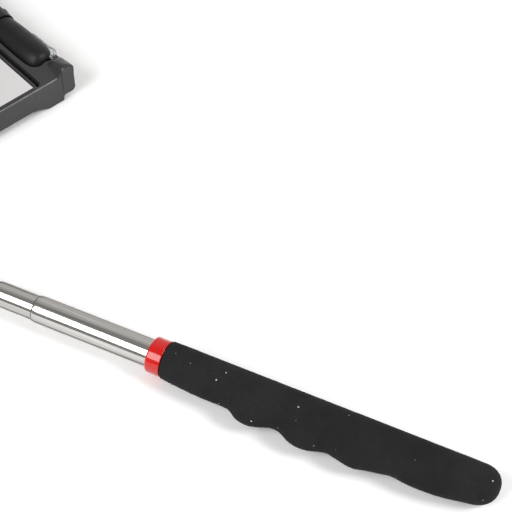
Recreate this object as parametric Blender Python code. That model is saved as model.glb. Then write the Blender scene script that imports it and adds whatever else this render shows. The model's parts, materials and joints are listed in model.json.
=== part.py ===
"""Telescoping inspection mirror with a lighted head, lying flat.

Sizes are in millimetres and angles in degrees; MM turns a length into Blender's metres.
The mast runs along X, with the grip's butt towards +X and the head towards -X.
"""

import math

import bmesh
import bpy
from mathutils import Vector

MM = 0.001

# Handle
AXIS_HEIGHT = 7.0  # mast axis above the surface that the tool lies on
EASY_FIT = 0.3  # clearance round the first tube, the glass and the back cover
COLLAR_LENGTH = 5.7
COLLAR_RADIUS = 6.6
GRIP_START = 6.0
GRIP_END = 128.4
GRIP_RADIUS = 6.9
GRIP_ROUNDING = 7.6
GRIP_BORE_END = 117.0
GRIP_SIDES = 20
GROOVES_START = 27.0  # from the grip's front face
GROOVES_END = 91.5
GROOVE_STEPS = 25
BUTT_SHARPNESS = 2.3
# Depth of the belly below the mast axis, at distances from the grip's front face.
BELLY = (
    (0.0, 6.9), (8.0, 7.9), (18.0, 8.5), (27.0, 8.7), (31.4, 11.3), (35.9, 12.1),
    (39.6, 11.1), (43.2, 9.4), (46.6, 9.6), (51.1, 11.9), (54.5, 12.7), (58.3, 12.5),
    (64.1, 10.6), (68.8, 11.4), (72.2, 12.1), (75.3, 12.3), (78.3, 11.4), (83.1, 10.4),
    (87.4, 9.4), (91.5, 10.0), (97.8, 10.3), (105.8, 9.7), (113.8, 8.0), (122.4, 6.6),
)

# Mast: each section slides in the one before it
TUBES = 6
TUBE_RADIUS = 5.0
TUBE_STEP = 0.45  # from one section's radius to the next one's
TUBE_WALL = 0.30
MOUTH_CLEARANCE = 0.10
TUBE_1_MOUTH = -46.4
TUBE_1_END = 116.0
EXPOSED = (16.3, 19.8, 19.8, 19.8, 19.8)  # of sections 2 to 6, at rest
TUBE_2_LENGTH = 150.0
LENGTH_STEP = 8.0
NECK_DEPTH = 0.25
NECK_LENGTH = 7.0
BUSH_LENGTH = 5.0
BUSH_START = 0.9  # from where the neck starts
BUSH_GRIP = 0.06  # clearance on the neck
BUSH_SLIDE = 0.04  # clearance in the section round it
PLUG_FLANGE = 1.5
PLUG_LENGTH = 8.0
PLUG_RADIUS = 2.8
PLUG_BORE = 1.35
PLUG_FIT = 0.1
END_PLUG_LENGTH = 7.0
END_PLUG_DEPTH = 0.5  # of its outer face, from the first section's end

# Double ball joint
BALL_RADIUS = 4.5
SEAT_RADIUS = 4.75
NECK_RADIUS = 2.0
TIP_REACH = 9.0  # from the tip plug's face to the first ball
LINK_LENGTH = 44.0
HEAD_REACH = 15.0  # from the second ball to the head's wall
LINK_BEND = 68.0
HEAD_BEND = 44.8
PLATE_INNER = 2.6
PLATE_THICKNESS = 1.5
PLATE_END_RADIUS = 5.6
PLATE_WAIST = 4.6
PLATE_RUN = 7.0  # from a ball's centre to where the waist starts
CLAMP_SCREW_RADIUS = 1.5
CLAMP_HEAD_RADIUS = 2.8
CLAMP_HOLE = 1.75
NUT_RADIUS = 3.15

# Head: X along its long side, Y from the joint's wall to the lamp, Z up from the stud's axis
HEAD_HALF = 46.0
HEAD_DEPTH = 75.6
RIM = 6.4
TRAY_BOTTOM = -4.0
POD = (
    (54.0, 0.0), (56.5, -0.4), (59.0, -1.4), (61.0, -2.5), (62.2, -3.0), (69.7, -3.0),
    (70.0, -0.5), (74.4, -0.5),
)  # (Y, height from the tray's bottom) along the underside
CORNER_RADIUS = 4.0
GLASS_HALF = 44.0
GLASS_FRONT = 3.2
GLASS_BACK = 59.2
GLASS_BOTTOM = 3.2
GLASS_TOP = 5.0
BEZEL_WIDTH = 1.0  # that it covers of the glass
BEZEL_TOP = 5.7
SHELF = 2.0
REBATE = 3.2  # depth of the groove between the frame and the rim
REBATE_SIDE = 0.4
REBATE_BACK = 1.3
COVER_HALF = 42.5
COVER_FRONT = 5.8
COVER_BACK = 53.0
COVER_THICKNESS = 1.3
SCREW_X = 37.0
SCREW_Y = (13.0, 47.0)
BOSS_RADIUS = 2.8
PILOT_RADIUS = 1.05
SCREW_RADIUS = 0.9
SCREW_HEAD_RADIUS = 2.1
SINK_RADIUS = 2.3
SINK_DEPTH = 0.8
SCREW_HOLE = 1.1
STUD_RADIUS = 1.5
STUD_HOLE = 1.7
CLIP_RADIUS = 2.4
STUD_ROOM = 3.6  # half the width of the pocket round the stud's clip
# A cheek swells from the land beside the trough up to the head's end: (X, share of its height).
CHEEK_RISE = (
    (35.62, 0.0), (37.0, 0.28), (38.8, 0.54), (40.6, 0.68), (42.4, 0.83), (44.2, 0.97),
    (45.3, 1.0), (45.98, 0.93),
)
# Its section at full height: (Y, height above the rim).
CHEEK_SECTION = (
    (67.3, -0.25), (68.4, 0.9), (69.2, 2.7), (70.0, 3.6), (71.1, 4.0), (72.6, 3.75), (74.4, 3.0),
    (75.58, 2.0),
)

# Lamp: a barrel that turns between the head's two cheeks
LAMP_Y = 69.7
LAMP_Z = 3.7
LAMP_RADIUS = 6.5
LAMP_WALL = 1.1
LAMP_HALF = 34.4
BARREL_CROWN = [(5.4, 5.95), (10.9, 6.2), (16.0, 6.4)]  # (X, radius) out from the middle ring
TROUGH_RADIUS = 7.5
TROUGH_HALF = 35.6
LENS_ANGLE = 12.0  # above the horizontal, outwards
LENS_MIDDLE = 25.9
LENS_HALF = 6.9
LENS_WIDTH = 4.2
LENS_TOP = 7.0
LENS_BOTTOM = 4.4
LENS_FIT = 0.2
RING_HALF = 5.1
RING_RADIUS = 6.5
RING_BORE = 5.95
SPIGOT_START = 2.5
SPIGOT_RADIUS = 5.8
SHELL_BORE = 5.2
PIN_RADIUS = 1.25
PIN_END = 39.5
PIN_CLEARANCE = 0.2
FRICTION_RING_RADIUS = 2.0
FRICTION_RING_SECTION = 0.45
BUTTON_RADIUS = 2.2
BUTTON_BOTTOM = 5.2
BUTTON_TOP = 6.6
SWITCH_HALF = 2.2
SWITCH_BOTTOM = 3.0
SWITCH_TOP = 4.4
LED_X = 30.0
LED = [(1.9, 0), (1.9, 1.5), (3.0, 1.5), (3.7, 1.2), (4.1, 0.6), (4.2, 0)]  # (height, radius)
BOARD_START = 9.0
BOARD_END = 31.6
BOARD_HALF = 3.3
CELL_DROP = 1.15  # of the cells' axis below the barrel's, away from the light
CELL_RADIUS = 3.95
CELL_THICKNESS = 3.6
CELLS = 3
CELL_GAP = 0.2
CONTACT_RADIUS = 3.2
SPRING_RADIUS = 2.6
SPRING_WIRE = 0.22  # radius
SPRING_PITCH = 1.0
SPRING_TURNS = 2.0

ROUND = 24  # sides of a turned piece
SMALL_ROUND = 12


def clear_scene():
    for obj in list(bpy.data.objects):
        bpy.data.objects.remove(obj, do_unlink=True)


def material(name, colour, roughness, metallic=0.0, transmission=0.0):
    made = bpy.data.materials.new(name)
    made.use_nodes = True
    shader = made.node_tree.nodes["Principled BSDF"]
    shader.inputs["Base Color"].default_value = (*colour, 1.0)
    shader.inputs["Roughness"].default_value = roughness
    shader.inputs["Metallic"].default_value = metallic
    shader.inputs["Transmission Weight"].default_value = transmission
    made.diffuse_color = (*colour, 1.0)
    return made


def make_materials():
    return {
        "foam": material("foam", (0.028, 0.027, 0.029), 0.90),
        "red_plastic": material("red_plastic", (0.60, 0.012, 0.012), 0.25),
        "steel": material("steel", (0.62, 0.60, 0.58), 0.25, 1.0),
        "brass": material("brass", (0.70, 0.50, 0.22), 0.35, 1.0),
        "black_plastic": material("black_plastic", (0.045, 0.043, 0.047), 0.42),
        "barrel_plastic": material("barrel_plastic", (0.022, 0.021, 0.023), 0.30),
        "mirror": material("mirror", (0.85, 0.85, 0.86), 0.02, 1.0),
        "pad": material("pad", (0.25, 0.25, 0.26), 0.95),
        "clear": material("clear", (0.90, 0.93, 0.95), 0.05, 0.0, 1.0),
        "circuit": material("circuit", (0.02, 0.16, 0.06), 0.45),
        "rubber": material("rubber", (0.02, 0.02, 0.02), 0.80),
    }


def empty(name, parent=None, location=(0, 0, 0), turn_z=0.0, turn_x=0.0):
    made = bpy.data.objects.new(name, None)
    bpy.context.scene.collection.objects.link(made)
    made.parent = parent
    made.location = Vector(location) * MM
    made.rotation_euler = (math.radians(turn_x), 0.0, math.radians(turn_z))
    return made


def finish_mesh(name, bm, parent, finish, location=(0, 0, 0), turn=(0, 0, 0)):
    """Turns a bmesh in millimetres into an object in metres."""
    bmesh.ops.recalc_face_normals(bm, faces=bm.faces)
    bmesh.ops.scale(bm, vec=(MM, MM, MM), verts=bm.verts)
    mesh = bpy.data.meshes.new(name)
    bm.to_mesh(mesh)
    bm.free()
    mesh.shade_smooth()
    mesh.set_sharp_from_angle(angle=math.radians(35))
    made = bpy.data.objects.new(name, mesh)
    bpy.context.scene.collection.objects.link(made)
    made.parent = parent
    made.location = Vector(location) * MM
    made.rotation_euler = [math.radians(angle) for angle in turn]
    if finish:
        mesh.materials.append(finish)
    return made


def turned_mesh(profile, sides, bored):
    """A profile of (distance along X, radius) turned about X. A bored one is a closed loop."""
    bm = bmesh.new()
    rings = []
    for along, radius in profile:
        if radius == 0:
            rings.append([bm.verts.new((along, 0, 0))])
            continue
        angles = [2 * math.pi * (i + 0.5) / sides for i in range(sides)]
        rings.append([
            bm.verts.new((along, radius * math.cos(a), radius * math.sin(a))) for a in angles
        ])
    pairs = list(zip(rings, rings[1:]))
    if bored:
        pairs.append((rings[-1], rings[0]))
    for first, second in pairs:
        for i in range(sides):
            j = (i + 1) % sides
            corners = [first[i % len(first)], first[j % len(first)]]
            corners += [second[j % len(second)], second[i % len(second)]]
            bm.faces.new(list(dict.fromkeys(corners)))
    return bm


def turned(name, profile, parent, finish, sides=ROUND, bored=False, **place):
    return finish_mesh(name, turned_mesh(profile, sides, bored), parent, finish, **place)


def prism_mesh(outline, low, high, axis="z"):
    """An outline extruded along an axis; its points are in the other two axes, in X, Y, Z order."""
    at = {
        "x": lambda p, h: (h, p[0], p[1]),
        "y": lambda p, h: (p[0], h, p[1]),
        "z": lambda p, h: (p[0], p[1], h),
    }[axis]
    bm = bmesh.new()
    face = bm.faces.new([bm.verts.new(at(point, low)) for point in outline])
    made = bmesh.ops.extrude_face_region(bm, geom=[face])
    moved = [item for item in made["geom"] if isinstance(item, bmesh.types.BMVert)]
    bmesh.ops.translate(bm, vec=Vector(at((0, 0), high - low)), verts=moved)
    return bm


def rectangle(low_x, low_y, high_x, high_y):
    return [(low_x, low_y), (high_x, low_y), (high_x, high_y), (low_x, high_y)]


def rounded_rectangle(low_x, low_y, high_x, high_y, radius, steps=4):
    points = []
    for cx, cy, start in (
        (high_x - radius, low_y + radius, -90),
        (high_x - radius, high_y - radius, 0),
        (low_x + radius, high_y - radius, 90),
        (low_x + radius, low_y + radius, 180),
    ):
        points += arc(cx, cy, radius, start, start + 90, steps)
    return points


def arc(cx, cy, radius, start, end, steps):
    angles = [math.radians(start + (end - start) * i / steps) for i in range(steps + 1)]
    return [(cx + radius * math.cos(a), cy + radius * math.sin(a)) for a in angles]


def prism(name, outline, low, high, parent, finish, axis="z", **place):
    return finish_mesh(name, prism_mesh(outline, low, high, axis), parent, finish, **place)


def bevel(obj, width, segments=2, angle=50):
    made = obj.modifiers.new("edges", "BEVEL")
    made.width = width * MM
    made.segments = segments
    made.limit_method = "ANGLE"
    made.angle_limit = math.radians(angle)


def combine(target, tool, operation="DIFFERENCE"):
    """Adds a Boolean whose tool stays in the file as a wire helper."""
    made = target.modifiers.new(tool.name, "BOOLEAN")
    made.operation = operation
    made.object = tool
    tool.hide_render = True
    tool.display_type = "WIRE"


def smooth_value(keys, x):
    """Reads a list of (x, value) as a smooth curve through its points."""
    if x <= keys[0][0]:
        return keys[0][1]
    if x >= keys[-1][0]:
        return keys[-1][1]
    i = next(i for i in range(len(keys) - 1) if keys[i + 1][0] >= x)
    (x0, v0), (x1, v1) = keys[i], keys[i + 1]
    before, after = keys[max(i - 1, 0)], keys[min(i + 2, len(keys) - 1)]
    span = x1 - x0
    slope_0 = (v1 - before[1]) / (x1 - before[0])
    slope_1 = (after[1] - v0) / (after[0] - x0)
    t = (x - x0) / span
    return (
        (2 * t**3 - 3 * t**2 + 1) * v0
        + (t**3 - 2 * t**2 + t) * span * slope_0
        + (3 * t**2 - 2 * t**3) * v1
        + (t**3 - t**2) * span * slope_1
    )


def tube_radius(number):
    return TUBE_RADIUS - TUBE_STEP * (number - 1)


def tube_length(number):
    return TUBE_2_LENGTH - LENGTH_STEP * (number - 2)


def tube_mouth(number):
    return TUBE_1_MOUTH - sum(EXPOSED[:number - 1])


def ball_profile(radius, neck, steps=8):
    """From a ball's far pole to where its neck leaves it, along +X from the ball's centre."""
    last = math.degrees(math.asin(neck / radius))
    points = arc(0, 0, radius, 180, last, steps)
    return [(points[0][0], 0)] + [(x, r) for x, r in points[1:]]


def make_grip(parent, finish):
    """The foam sleeve: round at its collar, with a belly of finger grooves towards -Y."""
    length = GRIP_END - GRIP_START
    straight = length - GRIP_ROUNDING
    step = (GROOVES_END - GROOVES_START) / GROOVE_STEPS
    grooves = [GROOVES_START + step * i for i in range(GROOVE_STEPS + 1)]
    stations = [0.0, 9.0, 18.0, 24.0] + grooves + [98.0, 106.0, straight]
    butt = [straight + GRIP_ROUNDING * math.sin(math.radians(a)) for a in (25, 45, 62, 78)]
    bm = bmesh.new()
    rings = []
    for along in stations + butt:
        over = max(0.0, (along - straight) / GRIP_ROUNDING)
        shrink = (1 - over**BUTT_SHARPNESS) ** (1 / BUTT_SHARPNESS)
        depth = smooth_value(BELLY, along) * shrink
        radius = GRIP_RADIUS * shrink
        ring = []
        for i in range(GRIP_SIDES):
            angle = 2 * math.pi * (i + 0.5) / GRIP_SIDES
            reach = radius if math.cos(angle) > 0 else depth
            ring.append(bm.verts.new((along, reach * math.cos(angle), radius * math.sin(angle))))
        rings.append(ring)
    for first, second in zip(rings, rings[1:]):
        for i in range(GRIP_SIDES):
            j = (i + 1) % GRIP_SIDES
            bm.faces.new([first[i], first[j], second[j], second[i]])
    bm.faces.new(rings[-1])
    bm.faces.new(reversed(rings[0]))
    grip = finish_mesh("foam_grip", bm, parent, finish, location=(GRIP_START, 0, 0))
    bore_end = GRIP_BORE_END - GRIP_START
    bore_radius = TUBE_RADIUS + EASY_FIT
    profile = [(bore_end, 0), (bore_end, bore_radius), (-1, bore_radius), (-1, 0)]
    bore = turned("grip_bore", profile, parent, None, location=(GRIP_START, 0, 0))
    combine(grip, bore)


def make_collar(parent, finish):
    inner = TUBE_RADIUS + EASY_FIT
    outer = COLLAR_RADIUS
    profile = [(0.0, inner), (0.0, outer - 1.1), (0.35, outer - 0.4), (1.1, outer)]
    profile += [(COLLAR_LENGTH - 0.3, outer), (COLLAR_LENGTH, outer - 0.3), (COLLAR_LENGTH, inner)]
    turned("red_collar", profile, parent, finish, bored=True)


def make_tubes(parent, steel, brass):
    """Section 1 is fixed in the grip. The others have a necked inner end with a friction bush."""
    for number in range(1, TUBES + 1):
        radius = tube_radius(number)
        bore = radius - TUBE_WALL
        lip = tube_radius(number + 1) + MOUTH_CLEARANCE if number < TUBES else bore
        profile = [(0.0, lip), (0.0, radius - 0.22), (0.35, radius - 0.06), (0.8, radius)]
        if number == 1:
            end = TUBE_1_END - TUBE_1_MOUTH
            profile += [(end, radius), (end, bore)]
        else:
            end = tube_length(number)
            neck = end - NECK_LENGTH
            profile += [(neck, radius), (neck + 0.5, radius - NECK_DEPTH)]
            profile += [(end - 0.8, radius - NECK_DEPTH), (end - 0.8, radius), (end, radius)]
            profile += [(end, bore - NECK_DEPTH), (neck + 0.4, bore - NECK_DEPTH), (neck, bore)]
        profile += [(1.6, bore), (1.2, lip)] if number < TUBES else []
        place = {"location": (tube_mouth(number), 0, 0)}
        turned(f"tube_{number}", profile, parent, steel, bored=True, **place)
        if number > 1:
            inner = radius - NECK_DEPTH + BUSH_GRIP
            outer = tube_radius(number - 1) - TUBE_WALL - BUSH_SLIDE
            start = tube_length(number) - NECK_LENGTH + BUSH_START
            end = start + BUSH_LENGTH
            ring = [(start, inner), (start, outer), (end, outer), (end, inner)]
            turned(f"slide_bush_{number}", ring, parent, brass, bored=True, **place)
    plug_radius = TUBE_RADIUS - TUBE_WALL - PLUG_FIT
    plug = [(0, 0), (0, plug_radius - 0.5), (0.5, plug_radius), (END_PLUG_LENGTH, plug_radius)]
    plug += [(END_PLUG_LENGTH, 0)]
    start = TUBE_1_END - END_PLUG_LENGTH - END_PLUG_DEPTH
    turned("tube_end_plug", plug, parent, brass, location=(start, 0, 0))


def make_tip(parent, steel, brass):
    """The plug in section 6, and the ball stud that turns in it and is riveted over behind it."""
    face = tube_mouth(TUBES) - PLUG_FLANGE
    spigot = tube_radius(TUBES) - TUBE_WALL - PLUG_FIT
    plug = [(0, PLUG_BORE), (0, PLUG_RADIUS - 0.3), (0.3, PLUG_RADIUS)]
    plug += [(PLUG_FLANGE - 0.15, PLUG_RADIUS)]
    plug += [(PLUG_FLANGE - 0.15, spigot), (PLUG_FLANGE + PLUG_LENGTH, spigot)]
    plug += [(PLUG_FLANGE + PLUG_LENGTH, PLUG_BORE)]
    turned("tip_plug", plug, parent, brass, sides=16, bored=True, location=(face, 0, 0))
    rivet = TIP_REACH + PLUG_FLANGE + PLUG_LENGTH + 0.25
    stud = ball_profile(BALL_RADIUS, NECK_RADIUS)
    stem = PLUG_BORE - 0.12
    shoulder = TIP_REACH - 0.25
    stud += [(TIP_REACH - 1.6, NECK_RADIUS), (TIP_REACH - 1.6, PLUG_RADIUS), (shoulder, PLUG_RADIUS)]
    stud += [(shoulder, stem), (rivet, stem), (rivet, 1.9), (rivet + 0.9, 1.6), (rivet + 0.9, 0)]
    turned("tip_ball_stud", stud, parent, steel, sides=20, location=(face - TIP_REACH, 0, 0))
    return face - TIP_REACH


def plate_outline():
    """A dog bone round the two balls, from the first ball's centre along +X."""
    far = LINK_LENGTH - PLATE_RUN
    lean = math.degrees(math.atan2(PLATE_END_RADIUS - PLATE_WAIST, PLATE_RUN))
    points = arc(0, 0, PLATE_END_RADIUS, 90 - lean, 270 + lean, 12)
    points += [(PLATE_RUN, -PLATE_WAIST), (far, -PLATE_WAIST)]
    points += arc(LINK_LENGTH, 0, PLATE_END_RADIUS, -90 - lean, 90 + lean, 12)
    points += [(far, PLATE_WAIST), (PLATE_RUN, PLATE_WAIST)]
    return points


def make_link(parent, steel):
    """Two clamp plates on the balls, drawn together by a screw with a spring washer and a nut."""
    middle = LINK_LENGTH / 2
    outer = PLATE_INNER + PLATE_THICKNESS
    for name, low, high in (
        ("clamp_plate_upper", PLATE_INNER, outer),
        ("clamp_plate_lower", -outer, -PLATE_INNER),
    ):
        plate = prism(name, plate_outline(), low, high, parent, steel)
        bevel(plate, 0.35, 1)
        for end, x in enumerate((0, LINK_LENGTH)):
            points = arc(0, 0, SEAT_RADIUS, 180, 0, 10)
            seat = [(points[0][0], 0)] + points[1:-1] + [(points[-1][0], 0)]
            place = {"location": (x, 0, 0), "turn": (0, -90, 0)}
            combine(plate, turned(f"{name}_seat_{end}", seat, parent, None, 20, **place))
        hole = turned(
            f"{name}_hole", [(-9, 0), (-9, CLAMP_HOLE), (9, CLAMP_HOLE), (9, 0)], parent, None,
            SMALL_ROUND, location=(middle, 0, 0), turn=(0, -90, 0),
        )
        combine(plate, hole)
    washer = [(outer + 0.1, 1.7), (outer + 0.1, 2.9), (outer + 0.6, 2.9), (outer + 0.6, 1.7)]
    along_z = {"location": (middle, 0, 0), "turn": (0, -90, 0)}
    turned("spring_washer", washer, parent, steel, 16, bored=True, **along_z)
    under = outer + 0.7
    tail = -outer - 2.3
    screw = [(tail, 0), (tail, CLAMP_SCREW_RADIUS), (under, CLAMP_SCREW_RADIUS)]
    screw += [(under, CLAMP_HEAD_RADIUS), (under + 0.9, CLAMP_HEAD_RADIUS)]
    screw += [(under + 1.5, CLAMP_HEAD_RADIUS - 0.6), (under + 1.5, 0)]
    bolt = turned("clamp_screw", screw, parent, steel, 16, **along_z)
    slot = prism("clamp_screw_slot", rectangle(middle - 0.35, -4, middle + 0.35, 4),
                 under + 0.8, under + 3, parent, None)
    combine(bolt, slot)
    hexagon = [(middle + x, y) for x, y in arc(0, 0, NUT_RADIUS, 0, 300, 5)]
    nut = prism("clamp_nut", hexagon, -outer - 2.2, -outer - 0.1, parent, steel)
    bore = turned("clamp_nut_bore", [(-9, 0), (-9, 1.6), (0, 1.6), (0, 0)], parent, None,
                  SMALL_ROUND, **along_z)
    combine(nut, bore)


def make_head_stud(parent, steel):
    """The second ball, on the stud that the head turns on. Its clip and washer sit inside."""
    stud = ball_profile(BALL_RADIUS, NECK_RADIUS)
    stud += [(HEAD_REACH - 1.9, NECK_RADIUS), (HEAD_REACH - 1.9, 3.4), (HEAD_REACH - 0.3, 3.4)]
    groove = HEAD_REACH + 6.9
    stud += [(HEAD_REACH - 0.3, STUD_RADIUS), (groove, STUD_RADIUS), (groove, STUD_RADIUS - 0.4)]
    stud += [(groove + 0.8, STUD_RADIUS - 0.4), (groove + 0.8, STUD_RADIUS)]
    stud += [(groove + 1.6, STUD_RADIUS), (groove + 1.6, 0)]
    along_y = {"turn": (0, 0, 90)}
    turned("head_ball_stud", stud, parent, steel, 20, **along_y)
    clip_start = groove + 0.1
    clip = [(clip_start, STUD_RADIUS - 0.3), (clip_start, CLIP_RADIUS), (clip_start + 0.6, CLIP_RADIUS)]
    clip += [(clip_start + 0.6, STUD_RADIUS - 0.3)]
    turned("stud_clip", clip, parent, steel, 16, bored=True, **along_y)
    washer_start = groove - 0.7
    washer = [(washer_start, STUD_HOLE), (washer_start, CLIP_RADIUS)]
    washer += [(washer_start + 0.5, CLIP_RADIUS), (washer_start + 0.5, STUD_HOLE)]
    turned("stud_washer", washer, parent, steel, 16, bored=True, **along_y)


def rounded_end(radius, half):
    """The last stretch of the barrel's outer side, up to its rounded end."""
    return [
        (half - 10.4, radius), (half - 5.4, radius - 0.2), (half - 2.4, radius - 0.8),
        (half - 0.9, radius - 1.7), (half, radius - 3.0),
    ]


def make_cheek(name, side, housing, parent):
    """The hump at one end of the lamp, which the barrel's pin turns in."""
    bm = bmesh.new()
    foot = CHEEK_SECTION[0][1]
    sections = []
    for x, share in CHEEK_RISE:
        points = [(y, RIM + foot + share * (height - foot)) for y, height in CHEEK_SECTION]
        points += [(CHEEK_SECTION[-1][0], RIM - 1), (CHEEK_SECTION[0][0], RIM - 1)]
        sections.append([bm.verts.new((side * x, y, z)) for y, z in points])
    for first, second in zip(sections, sections[1:]):
        for i in range(len(first)):
            j = (i + 1) % len(first)
            bm.faces.new([first[i], first[j], second[j], second[i]])
    bm.faces.new(sections[0])
    bm.faces.new(reversed(sections[-1]))
    combine(housing, finish_mesh(name, bm, parent, None), "UNION")


def make_housing(parent, finish):
    outline = [(0, TRAY_BOTTOM)] + [(y, TRAY_BOTTOM + z) for y, z in POD]
    outline += [(HEAD_DEPTH, TRAY_BOTTOM + 0.8), (HEAD_DEPTH, RIM), (0, RIM)]
    bm = prism_mesh(outline, -HEAD_HALF, HEAD_HALF, "x")
    upright = [
        edge for edge in bm.edges
        if all(abs(v.co.y) < 1e-6 and abs(abs(v.co.x) - HEAD_HALF) < 1e-6 for v in edge.verts)
    ]
    bmesh.ops.bevel(bm, geom=upright, offset=CORNER_RADIUS, segments=4, profile=0.5, affect="EDGES")
    housing = finish_mesh("head_housing", bm, parent, finish)
    bevel(housing, 0.4, 1)

    for side in (-1, 1):
        make_cheek(f"cheek_{side}", side, housing, parent)

    opening_half = GLASS_HALF + EASY_FIT
    front, back = GLASS_FRONT - EASY_FIT, GLASS_BACK + EASY_FIT
    recess = rounded_rectangle(-opening_half, front, opening_half, back, 2.0, 3)
    combine(housing, prism("mirror_recess", recess, SHELF, RIM + 5, parent, None))
    sides = opening_half + REBATE_SIDE
    rebate = rounded_rectangle(-sides, front - REBATE_SIDE, sides, back + REBATE_BACK, 2.2, 3)
    combine(housing, prism("mirror_rebate", rebate, RIM - REBATE, RIM + 1, parent, None))

    groove = RING_HALF + 0.5
    trough = [(groove, RING_RADIUS + 0.5), (groove, TROUGH_RADIUS)]
    trough += rounded_end(TROUGH_RADIUS, TROUGH_HALF) + [(TROUGH_HALF, 0)]
    mirrored = [(-x, r) for x, r in reversed(trough)]
    at_lamp = {"location": (0, LAMP_Y, LAMP_Z)}
    combine(housing, turned("trough", mirrored + trough, parent, None, **at_lamp))

    pocket_top = TRAY_BOTTOM + COVER_THICKNESS + EASY_FIT
    pocket_half = COVER_HALF + EASY_FIT
    pocket = rectangle(-pocket_half, COVER_FRONT - EASY_FIT, pocket_half, COVER_BACK + EASY_FIT)
    combine(housing, prism("cover_pocket", pocket, TRAY_BOTTOM - 1, pocket_top, parent, None))
    hollow = rectangle(-COVER_HALF + 1.2, COVER_FRONT + 4.5, COVER_HALF - 1.2, COVER_BACK - 1.2)
    combine(housing, prism("hollow", hollow, pocket_top - 0.2, SHELF - 1.3, parent, None))
    clip_pocket = rectangle(-STUD_ROOM, COVER_FRONT - 0.2, STUD_ROOM, COVER_FRONT + 5.0)
    combine(housing, prism("clip_pocket", clip_pocket, pocket_top - 0.3, SHELF + 0.9, parent, None))
    through = [(-2, 0), (-2, STUD_HOLE), (COVER_FRONT + 0.5, STUD_HOLE), (COVER_FRONT + 0.5, 0)]
    combine(housing, turned("stud_hole", through, parent, None, 16, turn=(0, 0, 90)))
    for side in (-1, 1):
        for row, y in enumerate(SCREW_Y):
            place = {"location": (side * SCREW_X, y, 0), "turn": (0, -90, 0)}
            low, high = pocket_top + 0.1, SHELF - 1.0
            boss = [(low, 0), (low, BOSS_RADIUS), (high, BOSS_RADIUS), (high, 0)]
            name = f"boss_{side}_{row}"
            combine(housing, turned(name, boss, parent, None, SMALL_ROUND, **place), "UNION")
            end = SHELF - 1.2
            pilot = [(low - 1, 0), (low - 1, PILOT_RADIUS), (end, PILOT_RADIUS), (end, 0)]
            combine(housing, turned(f"{name}_pilot", pilot, parent, None, 12, **place))
        near, far = side * (TROUGH_HALF - 1), side * (PIN_END + 0.5)
        pin_hole = [(near, 0), (near, PIN_RADIUS + PIN_CLEARANCE), (far, PIN_RADIUS + PIN_CLEARANCE)]
        pin_hole += [(far, 0)]
        combine(housing, turned(f"pin_hole_{side}", pin_hole, parent, None, SMALL_ROUND, **at_lamp))


def make_mirror(parent, finishes):
    glass = rounded_rectangle(-GLASS_HALF, GLASS_FRONT, GLASS_HALF, GLASS_BACK, 1.5, 3)
    prism("mirror_glass", glass, GLASS_BOTTOM, GLASS_TOP, parent, finishes["mirror"])
    pad = rounded_rectangle(-40, COVER_FRONT + 6, 40, GLASS_BACK - 3, 3, 3)
    prism("mirror_pad", pad, SHELF + 0.2, GLASS_BOTTOM - 0.2, parent, finishes["pad"])
    outer = rounded_rectangle(-GLASS_HALF, GLASS_FRONT, GLASS_HALF, GLASS_BACK, 1.7, 3)
    inner = rounded_rectangle(
        -GLASS_HALF + BEZEL_WIDTH, GLASS_FRONT + BEZEL_WIDTH,
        GLASS_HALF - BEZEL_WIDTH, GLASS_BACK - BEZEL_WIDTH, 0.8, 3,
    )
    ring = prism("front_bezel", outer, GLASS_TOP + 0.2, BEZEL_TOP, parent, finishes["black_plastic"])
    combine(ring, prism("bezel_opening", inner, GLASS_TOP - 1, RIM + 1, parent, None))


def make_cover(parent, plastic, steel):
    plate = rectangle(-COVER_HALF, COVER_FRONT, COVER_HALF, COVER_BACK)
    top = TRAY_BOTTOM + COVER_THICKNESS
    cover = prism("back_cover", plate, TRAY_BOTTOM, top, parent, plastic)
    bevel(cover, 0.3, 1)
    number = 0
    for side in (-1, 1):
        for y in SCREW_Y:
            number += 1
            place = {"location": (side * SCREW_X, y, 0), "turn": (0, -90, 0)}
            seat = TRAY_BOTTOM + SINK_DEPTH
            sink = [(TRAY_BOTTOM - 1, 0), (TRAY_BOTTOM - 1, SINK_RADIUS), (seat, SINK_RADIUS)]
            sink += [(seat, SCREW_HOLE), (top + 1, SCREW_HOLE), (top + 1, 0)]
            combine(cover, turned(f"sink_{number}", sink, parent, None, SMALL_ROUND, **place))
            face, under = TRAY_BOTTOM + 0.05, seat - 0.1
            screw = [(face, 0), (face, SCREW_HEAD_RADIUS - 0.3), (face + 0.25, SCREW_HEAD_RADIUS)]
            screw += [(under, SCREW_HEAD_RADIUS), (under, SCREW_RADIUS), (SHELF - 1.8, SCREW_RADIUS)]
            screw += [(SHELF - 1.4, 0)]
            body = turned(f"cover_screw_{number}", screw, parent, steel, SMALL_ROUND, **place)
            x = side * SCREW_X
            slots = prism(f"cross_{number}", rectangle(x - 0.25, y - 1.3, x + 0.25, y + 1.3),
                          TRAY_BOTTOM - 1, TRAY_BOTTOM + 0.4, parent, None)
            combine(body, slots)


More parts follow.
